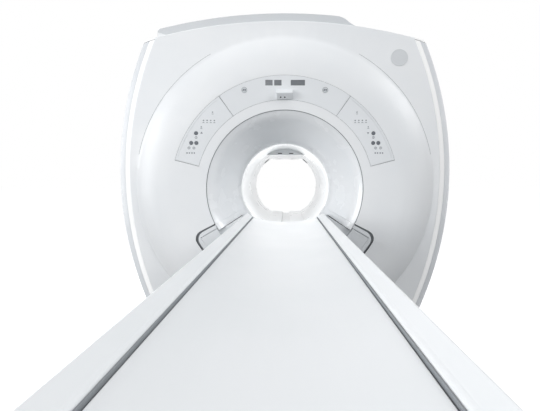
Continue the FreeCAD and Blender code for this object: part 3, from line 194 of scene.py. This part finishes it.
def surface(name, colour, roughness, **settings):
    """A principled surface. The caller adds its pattern through the returned tree and shader."""
    material = bpy.data.materials.new(name)
    tree = emptied(material)
    inputs = {"Base Color": linear(colour), "Roughness": roughness}
    shader = add(tree, "ShaderNodeBsdfPrincipled", None, inputs)
    for socket, value in settings.items():
        shader.inputs[socket.replace("_", " ")].default_value = value
    add(tree, "ShaderNodeOutputMaterial", None, {"Surface": shader.outputs[0]})
    return material, tree, shader


def object_place(tree):
    """Coordinates that stay with the object."""
    return add(tree, "ShaderNodeTexCoord").outputs["Object"]


def noise(tree, place, size_mm, detail):
    """Soft noise whose features are this many millimetres across."""
    inputs = {"Vector": place, "Scale": 1 / (size_mm * MM), "Detail": detail}
    return add(tree, "ShaderNodeTexNoise", None, inputs).outputs["Fac"]


def spread(tree, value, start, end, low, high):
    """A value between start and end as one between low and high."""
    inputs = {"Value": value, "From Min": start, "From Max": end, "To Min": low, "To Max": high}
    return add(tree, "ShaderNodeMapRange", None, inputs).outputs[0]


def mottle(tree, shader, colour, other, size_mm, share):
    """A slow drift between two close colours."""
    cloud = noise(tree, object_place(tree), size_mm, 3.0)
    inputs = {"Factor": spread(tree, cloud, 0.35, 0.65, 0.0, share), 6: linear(colour), 7: linear(other)}
    mix = add(tree, "ShaderNodeMix", {"data_type": "RGBA"}, inputs)
    tree.links.new(mix.outputs[2], shader.inputs["Base Color"])


def raised(tree, shader, height, height_mm, strength):
    """A bump of the given height on the shader's surface."""
    inputs = {"Height": height, "Distance": height_mm * MM, "Strength": strength}
    bump = add(tree, "ShaderNodeBump", None, inputs)
    tree.links.new(bump.outputs[0], shader.inputs["Normal"])
    return bump


def uneven_gloss(tree, shader, low, high, size_mm):
    """Roughness that drifts between two values."""
    cloud = noise(tree, object_place(tree), size_mm, 4.0)
    tree.links.new(spread(tree, cloud, 0.3, 0.7, low, high), shader.inputs["Roughness"])


def moulded(name, colour, other, roughness, coat=0.0, edge_mm=2.0):
    """Moulded polyurethane or laminate under sprayed paint: edges rounded by the mould, the faintest
    orange peel, and a tone and gloss that drift slowly from the spraying."""
    material, tree, shader = surface(name, colour, roughness, IOR=1.5, Coat_Weight=coat)
    mottle(tree, shader, colour, other, 320, 0.7)
    bump = raised(tree, shader, noise(tree, object_place(tree), 1.8, 2.0), 0.006, 0.2)
    if edge_mm:
        rounded = add(tree, "ShaderNodeBevel", {"samples": 6}, {"Radius": edge_mm * MM})
        tree.links.new(rounded.outputs[0], bump.inputs["Normal"])
    uneven_gloss(tree, shader, roughness - 0.04, roughness + 0.05, 140)
    return material


def textured(name, colour, other, roughness, grain_mm, height_mm):
    """Plastic, foam, rubber or coated metal with a grain that is felt by hand, drawn a little coarse so
    that it shows."""
    material, tree, shader = surface(name, colour, roughness, IOR=1.5)
    mottle(tree, shader, colour, other, 60, 0.6)
    raised(tree, shader, noise(tree, object_place(tree), grain_mm, 2.0), height_mm, 0.5)
    return material


def machined(name, colour, roughness, axis, line_mm):
    """Bare metal with fine tool lines across the given axis, which stretch its highlights along it."""
    material, tree, shader = surface(name, colour, roughness, Metallic=1.0)
    stretch = {"X": (1, 0.02, 0.02), "Y": (0.02, 1, 0.02), "Z": (0.02, 0.02, 1)}[axis]
    flow = add(tree, "ShaderNodeMapping", None, {"Vector": object_place(tree), "Scale": stretch})
    lines = noise(tree, flow.outputs[0], line_mm, 2.0)
    sheen = spread(tree, lines, 0.3, 0.7, roughness * 0.8, roughness * 1.3)
    tree.links.new(sheen, shader.inputs["Roughness"])
    raised(tree, shader, lines, 0.02, 0.3)
    return material


def polished(name, colour, roughness, low, high, cloud_mm, **settings):
    """Polished acrylic or glass: an even dark colour with a crisp reflection, faintly wiped."""
    material, tree, shader = surface(name, colour, roughness, **settings)
    uneven_gloss(tree, shader, low, high, cloud_mm)
    return material


def printed_ink(name, colour, ground):
    """Screen-printed ink: matt, a little broken by the grain of the ground that shows through it."""
    material, tree, shader = surface(name, colour, 0.7, IOR=1.45)
    mottle(tree, shader, colour, ground, 1.5, 0.25)
    return material


MATERIALS = {}


def make_materials():
    """Every finish by its short name, each with what it gives the eye."""
    made = {
        # the large covers: even satin white-grey, with highlights that fade softly over the bulge
        "cover": moulded("satin painted cover", "E0E2E4", "DBDEE1", 0.38),
        # a glossier, whiter bell, with a soft bright streak down each side
        "flare": moulded("gloss moulded flare", "E8EAEC", "E4E7EA", 0.25, coat=0.2),
        # the brightest of the inside, so that the tunnel glows
        "liner": moulded("laminated tunnel liner", "F2F4F5", "EEF1F3", 0.3),
        # a pure white glossy line down each corner
        "edge": moulded("gloss white edge moulding", "FCFCFC", "F8F9F9", 0.2, coat=1.0),
        # greyer than the front, so that the corner line stands out
        "side": moulded("satin side panel", "D0D3D7", "CACED2", 0.45),
        # the darkest of the covers: a flat grey cap
        "crown": moulded("satin grey crown", "C6C9CC", "C0C4C8", 0.5),
        # a shade under the cover, with tighter edges, so that the panels' outlines read
        "band": moulded("pale grey control panel", "DADDE0", "D6D9DC", 0.42, edge_mm=1.2),
        # a plain grey recess
        "dock": moulded("grey dock moulding", "D6D9DC", "D1D5D8", 0.42),
        # near white and too matt to mirror the gantry
        "rail": moulded("satin white rail moulding", "EAECEE", "E6E9EB", 0.48),
        # a broad, even pale surface with a low sheen
        "cradle": moulded("laminated cradle board", "E6E8EA", "E2E5E7", 0.36),
        # a grained matt underside
        "hull": textured("grained grey underpan", "D2D5D8", "CBCFD2", 0.5, 2.0, 0.05),
        # the table's telescoping boxes: satin white
        "shroud": moulded("satin white shroud", "DDE0E2", "D8DBDE", 0.4),
        # a dark line where the gantry meets the floor
        "plinth": textured("dark powder coat", "3A3D40", "33363A", 0.6, 1.5, 0.1),
        # a mid grey foot plate with a fine grain
        "base": textured("grey powder coat", "5A5E63", "54585D", 0.6, 1.5, 0.1),
        # structural steel: dull grey
        "frame": textured("frame powder coat", "7D8288", "767B81", 0.6, 1.5, 0.1),
        # pale paint with a coarse roller grain
        "vessel": textured("vessel paint", "CDD0D2", "C6CACD", 0.5, 4.0, 0.1),
        # dark matt dots on the panels
        "key": textured("dark silicone key", "5F646A", "585D63", 0.5, 0.8, 0.05),
        # soft pale buttons under a dark mark
        "round button": textured("pale silicone button", "C3C7CB", "BCC1C5", 0.5, 0.8, 0.05),
        # dark windows with hardly a reflection
        "lens": polished(
            "smoked acrylic", "74787C", 0.08, 0.05, 0.12, 30, IOR=1.49, Specular_IOR_Level=0.25
        ),
        # nearly black, with one small highlight
        "lamp": polished("dark lamp filter", "2A2D31", 0.06, 0.04, 0.09, 6, IOR=1.52),
        # a quiet grey disc with a thin lit rim
        "disc": moulded("satin grey disc", "C9CCCF", "C3C7CA", 0.35, edge_mm=0.0),
        # pale grey marks that read only from near
        "ink": printed_ink("grey printed ink", "7E8389", "A6AAAE"),
        # darker marks on the buttons
        "dark ink": printed_ink("dark printed ink", "54585D", "A6AAAE"),
        # painted shade: dark blocks, with a grain, where the fan slots would lie in shade
        "seal": textured("dark painted slot shade", "43464A", "3B3E42", 0.8, 1.0, 0.1),
        # thin grey lines between the panels and in the other gaps: grey strips toned as painted shade for the
        # gaps' shadow lines
        "gasket shade": textured("grey foam gasket and painted gap shade", "8A8E92", "82868A", 0.8, 1.0, 0.1),
        # painted shadow: the black line round the dock and under the flare's lip, put where the gaps lie in
        # shade
        "shadow": textured("black painted gap shadow", "17181A", "1D1E20", 0.9, 1.5, 0.1),
        # bright rods with rings of light across them
        "steel": machined("ground steel", "A9ACB0", 0.3, "Z", 1.5),
        # duller metal with lines along the extrusion
        "aluminium": machined("extruded aluminium", "B9BCC0", 0.38, "X", 1.5),
        # cloudy green casting
        "resin": textured("cast epoxy", "41685E", "3A5F56", 0.45, 12, 0.2),
        # straw-coloured weave
        "glass fibre": textured("glass fibre laminate", "C7C2A4", "BDB898", 0.5, 3, 0.1),
        # warm metal with fine lines across the strips
        "copper": machined("copper strip", "B87A5A", 0.35, "Y", 1.5),
        # dead matt black
        "rubber": textured("black rubber", "1E1F20", "242526", 0.75, 2.0, 0.15),
        # black with a slight sheen
        "motor": textured("black motor paint", "222426", "2A2C2E", 0.55, 1.5, 0.1),
    }
    MATERIALS.update(made)


FINISH = {  # the nodes that are in one finish all over
    "cover": ["rear_cover"],
    "flare": ["front_flare", "rear_flare"],
    "liner": ["bore_liner", "bore_bridge", "bore_ceiling_panel"],
    "edge": ["left_edge_trim", "right_edge_trim"],
    "side": ["left_side_cover", "right_side_cover"],
    "band": ["display_panel", "left_keypad", "right_keypad", "light_housing"],
    "rail": ["left_rail", "right_rail", "foot_cover"],
    "cradle": ["cradle"],
    "hull": ["table_hull"],
    "shroud": ["lower_shroud", "upper_shroud"],
    "plinth": ["plinth"],
    "base": ["table_base"],
    "frame": ["front_frame", "rear_frame", "front_guide_sleeve", "rear_guide_sleeve", "ram_cylinder"],
    "vessel": ["magnet_vessel"],
    "key": [f"{side}_{place}_key" for side in ("left", "right") for place in ("upper", "outer", "inner")],
    "round button": ["left_round_button", "right_round_button"],
    "lens": ["display_lens"],
    "lamp": ["light_lens"],
    "steel": [
        "service_turret", "cold_head", "ram_rod", "front_guide_post", "rear_guide_post", "release_handle",
    ],
    "aluminium": ["table_frame", "drive_pulley", "idler_pulley"],
    "resin": ["gradient_coil"],
    "glass fibre": ["rf_coil_former"],
    "copper": ["rf_birdcage"],
    "rubber": ["coil_wedges", "drive_belt"],
    "motor": ["drive_motor"],
}


# ---------------------------------------------------------------- pieces from the frame

LONG_NODES = ("left_rail", "right_rail", "cradle", "table_hull")  # these are cut across at every LONG_STEP
LONG_STEP = 0.06
TRIM_EDGE = 0.822  # where the white corner trims begin under the top cover
TOP_FRONT = -0.6  # the top cover's front lies ahead of this
BROW_FOOT = 2.035  # below this the top cover's front belongs to the plate
# these gap depths pick the faces painted as the gap's shade: black on the cut edge, grey on the flange
CUT_DEPTH, FLANGE_DEPTH = (0.6, 15), (10, 22)  # millimetres under the band, in the gap round the dock


def body_of(node):
    """The body that moves a node."""
    bodies = frame["record"]["behaviour"]["bodies"]
    return next(body for body, members in bodies.items() if node in members)


def cut(form, point, normal, **settings):
    """Cuts a form along a plane, and clears a side of it where the settings say so."""
    everything = form.verts[:] + form.edges[:] + form.faces[:]
    bmesh.ops.bisect_plane(form, geom=everything, plane_co=point, plane_no=normal, **settings)


def cut_across(form):
    """Cuts a long moulding's slender facets at every step, so that they shade evenly along it."""
    ends = [vert.co.y for vert in form.verts]
    y = min(ends) + LONG_STEP
    while y < max(ends) - 0.01:
        cut(form, (0, y, 0), (0, 1, 0), dist=0.000001)
        y += LONG_STEP


def shade(form, sharp_deg):
    """Shades a form's faces as one surface, apart from edges that turn by more than sharp_deg."""
    for face in form.faces:
        face.smooth = True
    for edge in form.edges:
        edge.smooth = len(edge.link_faces) == 2 and edge.calc_face_angle(0) < math.radians(sharp_deg)


def smooth_copy(node):
    """A node's own form with its facets joined and its curved faces shaded as one, in the node's place."""
    mesh = NODES[node].data.copy()
    form = bmesh.new()
    form.from_mesh(mesh)
    bmesh.ops.remove_doubles(form, verts=form.verts, dist=WELD * MM)
    bmesh.ops.dissolve_degenerate(form, edges=form.edges, dist=0.00001)
    if node in LONG_NODES:
        bmesh.ops.dissolve_limit(form, angle_limit=math.radians(0.4), verts=form.verts, edges=form.edges)
        cut_across(form)
    if node == "top_cover":
        for side in (-1, 1):
            cut(form, (side * TRIM_EDGE, 0, 0), (1, 0, 0))
    shade(form, sharp_deg=28)
    form.to_mesh(mesh)
    form.free()
    if "sharp_face" in mesh.attributes:
        mesh.attributes.remove(mesh.attributes["sharp_face"])
    piece = placed(node + "_finish", mesh)
    even = piece.modifiers.new("even normals", "WEIGHTED_NORMAL")
    even.keep_sharp = True
    even.weight = 60
    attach(piece, body_of(node))
    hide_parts(node)
    return piece


def dress(node, finish):
    """A smooth copy of a node in one finish."""
    piece = smooth_copy(node)
    piece.data.materials.clear()
    piece.data.materials.append(MATERIALS[finish])
    return piece


def dress_nodes():
    """All nodes of one finish."""
    for finish, names in FINISH.items():
        for node in names:
            dress(node, finish)


def band_ahead(radius):
    """How far ahead the sloping band lies."""
    return BAND_FACE - (BAND_OUTER - radius) * BAND_SLOPE


def round_bore(place):
    """Where a point lies about the bore: its radius, its angle from the top, and how deep it lies under
    the sloping band."""
    x, up = place.x / MM, (place.z - ISO) / MM
    radius = math.hypot(x, up)
    sunk = band_ahead(radius) + place.y / MM
    return radius, abs(math.degrees(math.atan2(x, up))), sunk


def paint_faces(piece, finish, chosen):
    """Gives a second finish to the faces that chosen picks by their middle and normal."""
    piece.data.materials.append(MATERIALS[finish])
    last = len(piece.data.materials) - 1
    for face in piece.data.polygons:
        if chosen(face.center, face.normal):
            face.material_index = last


def dress_front():
    """The moulded front. Its cut edge in the gap round the dock is painted black as the gap's shadow."""
    def cut_edge(centre, normal):
        radius, angle, sunk = round_bore(centre)
        in_gap = angle > DOCK_TOP - 1.5 and radius > FLARE_EDGE + 12 and CUT_DEPTH[0] < sunk < CUT_DEPTH[1]
        return in_gap and abs(normal.y) < 0.5

    paint_faces(dress("front_cover", "cover"), "shadow", cut_edge)


def dress_top():
    """The grey top cover. Its front edge goes on in the colours of the plate and the trims under it."""
    def plate_edge(centre, normal):
        return centre.y < TOP_FRONT and centre.z < BROW_FOOT

    def trim_end(centre, normal):
        return centre.y < TOP_FRONT and abs(centre.x) > TRIM_EDGE

    top = dress("top_cover", "crown")
    paint_faces(top, "cover", plate_edge)
    paint_faces(top, "edge", trim_end)


def dress_dock():
    """The dock moulding, with the flange behind the gap round it painted grey as the gap's shade."""
    def flange(centre, normal):
        radius, angle, sunk = round_bore(centre)
        return radius > FLARE_EDGE and FLANGE_DEPTH[0] < sunk < FLANGE_DEPTH[1] and normal.y < -0.5

    paint_faces(dress("dock_surround", "dock"), "gasket shade", flange)


# ---------------------------------------------------------------- added pieces


def finished(form, name, body, finish):
    """A new piece from a bmesh whose place is already in it."""
    bmesh.ops.remove_doubles(form, verts=form.verts, dist=0.000005)
    bmesh.ops.recalc_face_normals(form, faces=form.faces)
    shade(form, sharp_deg=30)
    mesh = bpy.data.meshes.new(name)
    form.to_mesh(mesh)
    form.free()
    mesh.materials.append(MATERIALS[finish])
    piece = placed(name, mesh)
    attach(piece, body)


def turned(form, profile, start, end, step_deg=2.0):
    """Spins a closed profile of (radius, ahead) points round the bore's axis from one angle to another."""
    corners = [form.verts.new((0, -ahead * MM, ISO + radius * MM)) for radius, ahead in profile]
    edges = [form.edges.new(pair) for pair in zip(corners, corners[1:] + corners[:1])]
    face = form.faces.new(corners)
    centre = (0, 0, ISO)
    bmesh.ops.rotate(form, verts=corners, cent=centre, matrix=Matrix.Rotation(math.radians(start), 3, "Y"))
    bmesh.ops.spin(
        form, geom=corners + edges + [face], cent=centre, axis=(0, 1, 0), angle=math.radians(end - start),
        steps=max(1, round((end - start) / step_deg)),
    )


def band_strip(inner, outer, low, high):
    """The section of a strip along the sloping band, with its face low under the band's and its foot high."""
    return [
        (inner, band_ahead(inner) - low), (outer, band_ahead(outer) - low),
        (outer, band_ahead(outer) - high), (inner, band_ahead(inner) - high),
    ]


def box(form, size, place):
    """A block of a size in millimetres with its middle at a place in millimetres."""
    verts = bmesh.ops.create_cube(form, size=1.0)["verts"]
    bmesh.ops.scale(form, verts=verts, vec=[length * MM for length in size])
    bmesh.ops.translate(form, verts=verts, vec=[shift * MM for shift in place])


def round_edges(form, edges, radius_mm, segments):
    """Rounds some edges of a form."""
    bmesh.ops.bevel(
        form, geom=edges, offset=radius_mm * MM, segments=segments, profile=0.5, affect="EDGES", material=-1
    )


def deepen(form, depth_mm):
    """Gives a form of flat faces this depth, away from the front."""
    made = bmesh.ops.extrude_face_region(form, geom=list(form.faces))["geom"]
    sunk = [part for part in made if isinstance(part, bmesh.types.BMVert)]
    bmesh.ops.translate(form, verts=sunk, vec=(0, depth_mm * MM, 0))


def seal_shades():
    """Grey foam strips in the gaps round the flare and between the control panels, and a strip on the crease
    round the bulge, each toned as painted shade for the dark line there.
    """
    form = bmesh.new()
    turned(form, band_strip(FLARE_EDGE + 0.2, FLARE_EDGE + FLARE_GAP - 0.2, 2, 8), -DOCK_TOP, DOCK_TOP)
    finished(form, "flare_seal_shade", "gantry", "gasket shade")
    form = bmesh.new()
    for inner, outer in ((BAND_INNER + 0.1, BAND_INNER + 1.4), (BAND_OUTER - 1.4, BAND_OUTER - 0.1)):
        turned(form, band_strip(inner, outer, 0.7, 6), -BAND_END, BAND_END)
    for middle in (-BAND_END, -SECTION_SPLIT, SECTION_SPLIT, BAND_END):
        strip = band_strip(BAND_INNER + 1.6, BAND_OUTER - 1.6, 1.0, 6)
        turned(form, strip, middle - 0.1, middle + 0.1)
    finished(form, "panel_seal_shades", "gantry", "gasket shade")
    form = bmesh.new()
    foot, face = PLATE_FACE - 2, PLATE_FACE + 0.5
    strip = [(SEAM_INNER, foot), (SEAM_OUTER, foot), (SEAM_OUTER, face), (SEAM_INNER, face)]
    for start, end in ((-SEAM_END, -SEAM_START), (SEAM_START, SEAM_END)):
        turned(form, strip, start, end)
    bmesh.ops.translate(form, verts=form.verts, vec=(0, 0, SEAM_UP * MM))
    finished(form, "bulge_seam_shade", "gantry", "gasket shade")


def flare_strip(side, low, high, sunk, lift, front=AHEAD_OF_ALL):
    """A thin shell over the flare's face along its cut edge above the dock: from low to high over the
    edge, then moved down by sunk and off the face by lift, and none of it further ahead than front."""
    form = bmesh.new()
    form.from_mesh(NODES["front_flare"].data)
    bmesh.ops.remove_doubles(form, verts=form.verts, dist=WELD * MM)
    form.normal_update()
    away = []
    for face in form.faces:
        middle = face.calc_center_median()
        if face.normal.y > FLARE_BACK_SLOPE or middle.x * side < 0 or middle.z > ISO:
            away.append(face)
    bmesh.ops.delete(form, geom=away, context="FACES")
    edge = Vector((side * FLARE_CUT[0] * MM, 0, FLARE_CUT[1] * MM))
    upward = Vector((side * CUT_UP[0], 0, CUT_UP[1]))
    cut(form, edge + upward * low * MM, -upward, clear_outer=True)
    cut(form, edge + upward * high * MM, upward, clear_outer=True)
    cut(form, (0, -front * MM, 0), (0, -1, 0), clear_outer=True)
    form.normal_update()
    for vert in form.verts:
        vert.co += vert.normal * lift * MM - upward * sunk * MM
    bmesh.ops.solidify(form, geom=form.faces[:], thickness=1.0 * MM)
    return form


def flare_lips():
    """The moulded lip along the flare's cut edge over the dock, and a black strip under it as painted shadow.
    """
    for name, side in SIDES:
        lip = flare_strip(side, -12, 37, 0, 3.0)
        finished(lip, f"{name}_flare_lip", "gantry", "flare")
        # painted shadow: a black strip set back under the lip, where the gap lies in shade
        shadow_strip = flare_strip(side, -12, 15, 12, 0.8, PLATE_FACE - 18)
        finished(shadow_strip, f"{name}_flare_shadow_strip", "gantry", "shadow")


def dock_inserts():
    """The moulded fillers beside the table's slot, which close the dock almost flush with its rim."""
    inner = FLARE_EDGE + 6
    face = [(inner, band_ahead(inner) - 2), (INSERT_OUTER, band_ahead(INSERT_OUTER) - 2)]
    profile = face + [(INSERT_OUTER, DOCK_FACE), (inner, DOCK_FACE)]
    for side, way in SIDES:
        form = bmesh.new()
        turned(form, profile, *sorted((way * INSERT_START, way * INSERT_END)), step_deg=1.5)
        cut(form, (way * SLOT_HALF * MM, 0, 0), (way, 0, 0), clear_inner=True)
        bmesh.ops.holes_fill(form, edges=[edge for edge in form.edges if len(edge.link_faces) == 1])
        finished(form, f"{side}_dock_insert", "gantry", "dock")


def rail_wiper_shades():
    """The soft lips on the inner faces of the rails, beside the sliding cradle, their grey standing in for
    the gap's shade.
    """
    wide, long, high = 3, 2392, 24
    across, back, up = 214.4, -1850, 862
    for side, way in SIDES:
        form = bmesh.new()
        box(form, (wide, long, high), (way * across, back, up))
        tops = [edge for edge in form.edges if all(vert.co.z > up * MM for vert in edge.verts)]
        along = [edge for edge in tops if edge.calc_length() > 2 * wide * MM]
        round_edges(form, along, 1.1, 3)
        finished(form, f"{side}_rail_wiper_shade", "table", "gasket shade")


def tunnel_ceiling_cap():
    """The plate that closes the space over the tunnel's ceiling strip, with two dark blocks on it as painted
    shade for its fan slots.
    """
    radius, foot, ahead = 299.4, 255.4, 12
    form = bmesh.new()
    bmesh.ops.create_circle(form, cap_ends=True, segments=96, radius=radius * MM)
    stand = Matrix.Translation((0, -ahead * MM, ISO)) @ Matrix.Rotation(math.radians(90), 4, "X")
    bmesh.ops.transform(form, matrix=stand, verts=form.verts)
    cut(form, (0, 0, ISO + foot * MM), (0, 0, 1), clear_inner=True)
    deepen(form, 3)
    finished(form, "tunnel_ceiling_cap", "gantry", "liner")
    # painted shade: dark blocks in the shape of the fan slots
    form = bmesh.new()
    for x in (-46, 46):
        box(form, (34, 1.2, 7), (x, -ahead - 0.3, ISO / MM + 268))
    round_edges(form, form.edges[:], 0.4, 2)
    finished(form, "tunnel_fan_slot_shades", "gantry", "seal")


def lathed(form, profile, place, facing, steps):
    """Turns an open profile of (radius, height) points in millimetres, from the rim to the middle, and
    stands it at a place with its axis along facing."""
    corners = [form.verts.new((radius * MM, 0, height * MM)) for radius, height in profile]
    edges = [form.edges.new(pair) for pair in zip(corners, corners[1:])]
    bmesh.ops.spin(
        form, geom=corners + edges, cent=(0, 0, 0), axis=(0, 0, 1), angle=math.tau, steps=steps,
        use_merge=True,
    )
    reach, ring = corners, set(corners)
    while reach:
        near = {edge.other_vert(vert) for vert in reach for edge in vert.link_edges}
        reach = [vert for vert in near if vert not in ring]
        ring.update(reach)
    turn = Vector(facing).to_track_quat("Z", "Y").to_matrix().to_4x4()
    bmesh.ops.transform(form, matrix=Matrix.Translation(place) @ turn, verts=list(ring))


def blank_disc():
    """The plain round disc on the flat corner of the cover at the right."""
    form = bmesh.new()
    profile = [(53, -0.5), (53, 2.2), (52, 3.2), (50, 3.4), (48.5, 2.4), (30, 3.0), (0, 3.3)]
    place = (0.720, -PLATE_FACE * MM, 1.888)
    lathed(form, profile, place, (0, -1, 0), 48)
    finished(form, "blank_disc", "gantry", "disc")


def skin_of(node):
    """A node's surface, for the rays that find where a mark or a cap lies on it."""
    mesh = NODES[node].data
    return BVHTree.FromPolygons([v.co for v in mesh.vertices], [list(p.vertices) for p in mesh.polygons])


def stamp(form, sides, x, up, wide, high, turn=0.0):
    """One printed shape, flat and facing the front, its middle at x and up from the bore's axis."""
    verts = bmesh.ops.create_circle(form, cap_ends=True, segments=sides, radius=0.5 * MM)["verts"]
    square = Matrix.Rotation(math.radians(45), 4, "Z") @ Matrix.Scale(math.sqrt(2), 4)
    size = Matrix.Diagonal((wide, high, 1, 1))
    turned_by = Matrix.Rotation(math.radians(turn), 4, "Z")
    upright = Matrix.Rotation(math.radians(90), 4, "X")
    place = Matrix.Translation((x * MM, 0, ISO + up * MM))
    first = square if sides == 4 else Matrix.Identity(4)
    bmesh.ops.transform(form, matrix=place @ upright @ turned_by @ size @ first, verts=verts)
    return verts


def ring_stamp(form, x, up, radius, wide):
    """A printed ring."""
    verts = stamp(form, 28, x, up, 2 * radius, 2 * radius)
    disc = verts[0].link_faces[0]
    bmesh.ops.inset_individual(form, faces=[disc], thickness=wide * MM)
    bmesh.ops.delete(form, geom=[disc], context="FACES_ONLY")


def print_on(form, node, name, body, finish):
    """Lays flat shapes on the front of a node as a film of ink 0.2 mm thick."""
    skin = skin_of(node)
    for vert in form.verts:
        hit, normal = skin.ray_cast(Vector((vert.co.x, -2, vert.co.z)), Vector((0, 1, 0)))[:2]
        vert.co = hit + normal * 0.2 * MM
    deepen(form, 0.25)
    finished(form, name, body, finish)


def keypad_marks():
    """Plain marks beside the keys: a pointer, a row of four scale marks, arrows, rings and dots, each at
    its place across and up from the bore's axis in millimetres."""
    for side, way in SIDES:
        form = bmesh.new()
        stamp(form, 3, way * 446, 471, 13, 12, 90)
        stamp(form, 4, way * 446, 460, 12, 3)
        for k in range(4):
            x = way * (436 + 22 * k)
            stamp(form, 16, x, 420, 9, 9)
            stamp(form, 4, x, 407, 12, 3.5)
        stamp(form, 3, way * 516, 380, 14, 12, 90)
        stamp(form, 4, way * 516, 370, 12, 3)
        stamp(form, 3, way * 515, 343, 17, 17, 180 if way > 0 else 0)
        ring_stamp(form, way * 548, 315, 8, 2.5)
        stamp(form, 4, way * 548, 315, 3, 10)
        for x in (562, 592):
            ring_stamp(form, way * x, 250, 8.5, 3)
            stamp(form, 12, way * x, 250, 6, 6)
        for x in (560, 574, 590, 604):
            stamp(form, 4, way * x, 219, 8, 9)
        print_on(form, f"{side}_keypad", f"{side}_keypad_marks", "gantry", "ink")


def button_marks():
    """On each round button a ring and two triangles that point at each other."""
    for side, way in SIDES:
        form = bmesh.new()
        ring_stamp(form, way * 250, 608, 16.5, 1.0)
        for turn, shift in ((0, -5.5), (180, 5.5)):
            stamp(form, 3, way * 250 + shift, 608, 15, 17, turn)
        print_on(form, f"{side}_round_button", f"{side}_button_mark", f"{side}_round_button", "dark ink")


def cover_caps():
    """Push-in caps over the screws that hold the side covers and the back to their frames. Each is where a
    ray from outside meets the cover, its start given in metres."""
    form = bmesh.new()
    cap = [(8, -0.6), (8, 0.6), (7.2, 1.5), (4, 2.1), (0, 2.3)]
    rays = []
    for side, way in SIDES:
        skin = skin_of(f"{side}_side_cover")
        rays += [
            (skin, (way * 2, y, z), (-way, 0, 0)) for y in (-0.60, 0.60) for z in (0.34, 0.80, 1.26, 1.72)
        ]
    skin = skin_of("rear_cover")
    for x, z in ((0.75, 1.88), (0.88, 1.75), (0.70, 0.30)):
        rays += [(skin, (-x, 2, z), (0, -1, 0)), (skin, (x, 2, z), (0, -1, 0))]
    for skin, start, way in rays:
        hit, normal = skin.ray_cast(Vector(start), Vector(way))[:2]
        if hit:
            lathed(form, cap, hit, normal, 20)
    finished(form, "screw_caps", "gantry", "side")


def build():
    """The studio, the finishes, the dressed nodes and the added pieces."""
    bpy.context.scene.view_settings.view_transform = "Standard"
    set_camera()
    set_world()
    set_lamps()
    set_floor()
    make_materials()
    dress_nodes()
    dress_front()
    dress_top()
    dress_dock()
    seal_shades()
    flare_lips()
    dock_inserts()
    rail_wiper_shades()
    tunnel_ceiling_cap()
    blank_disc()
    keypad_marks()
    button_marks()
    cover_caps()


build()
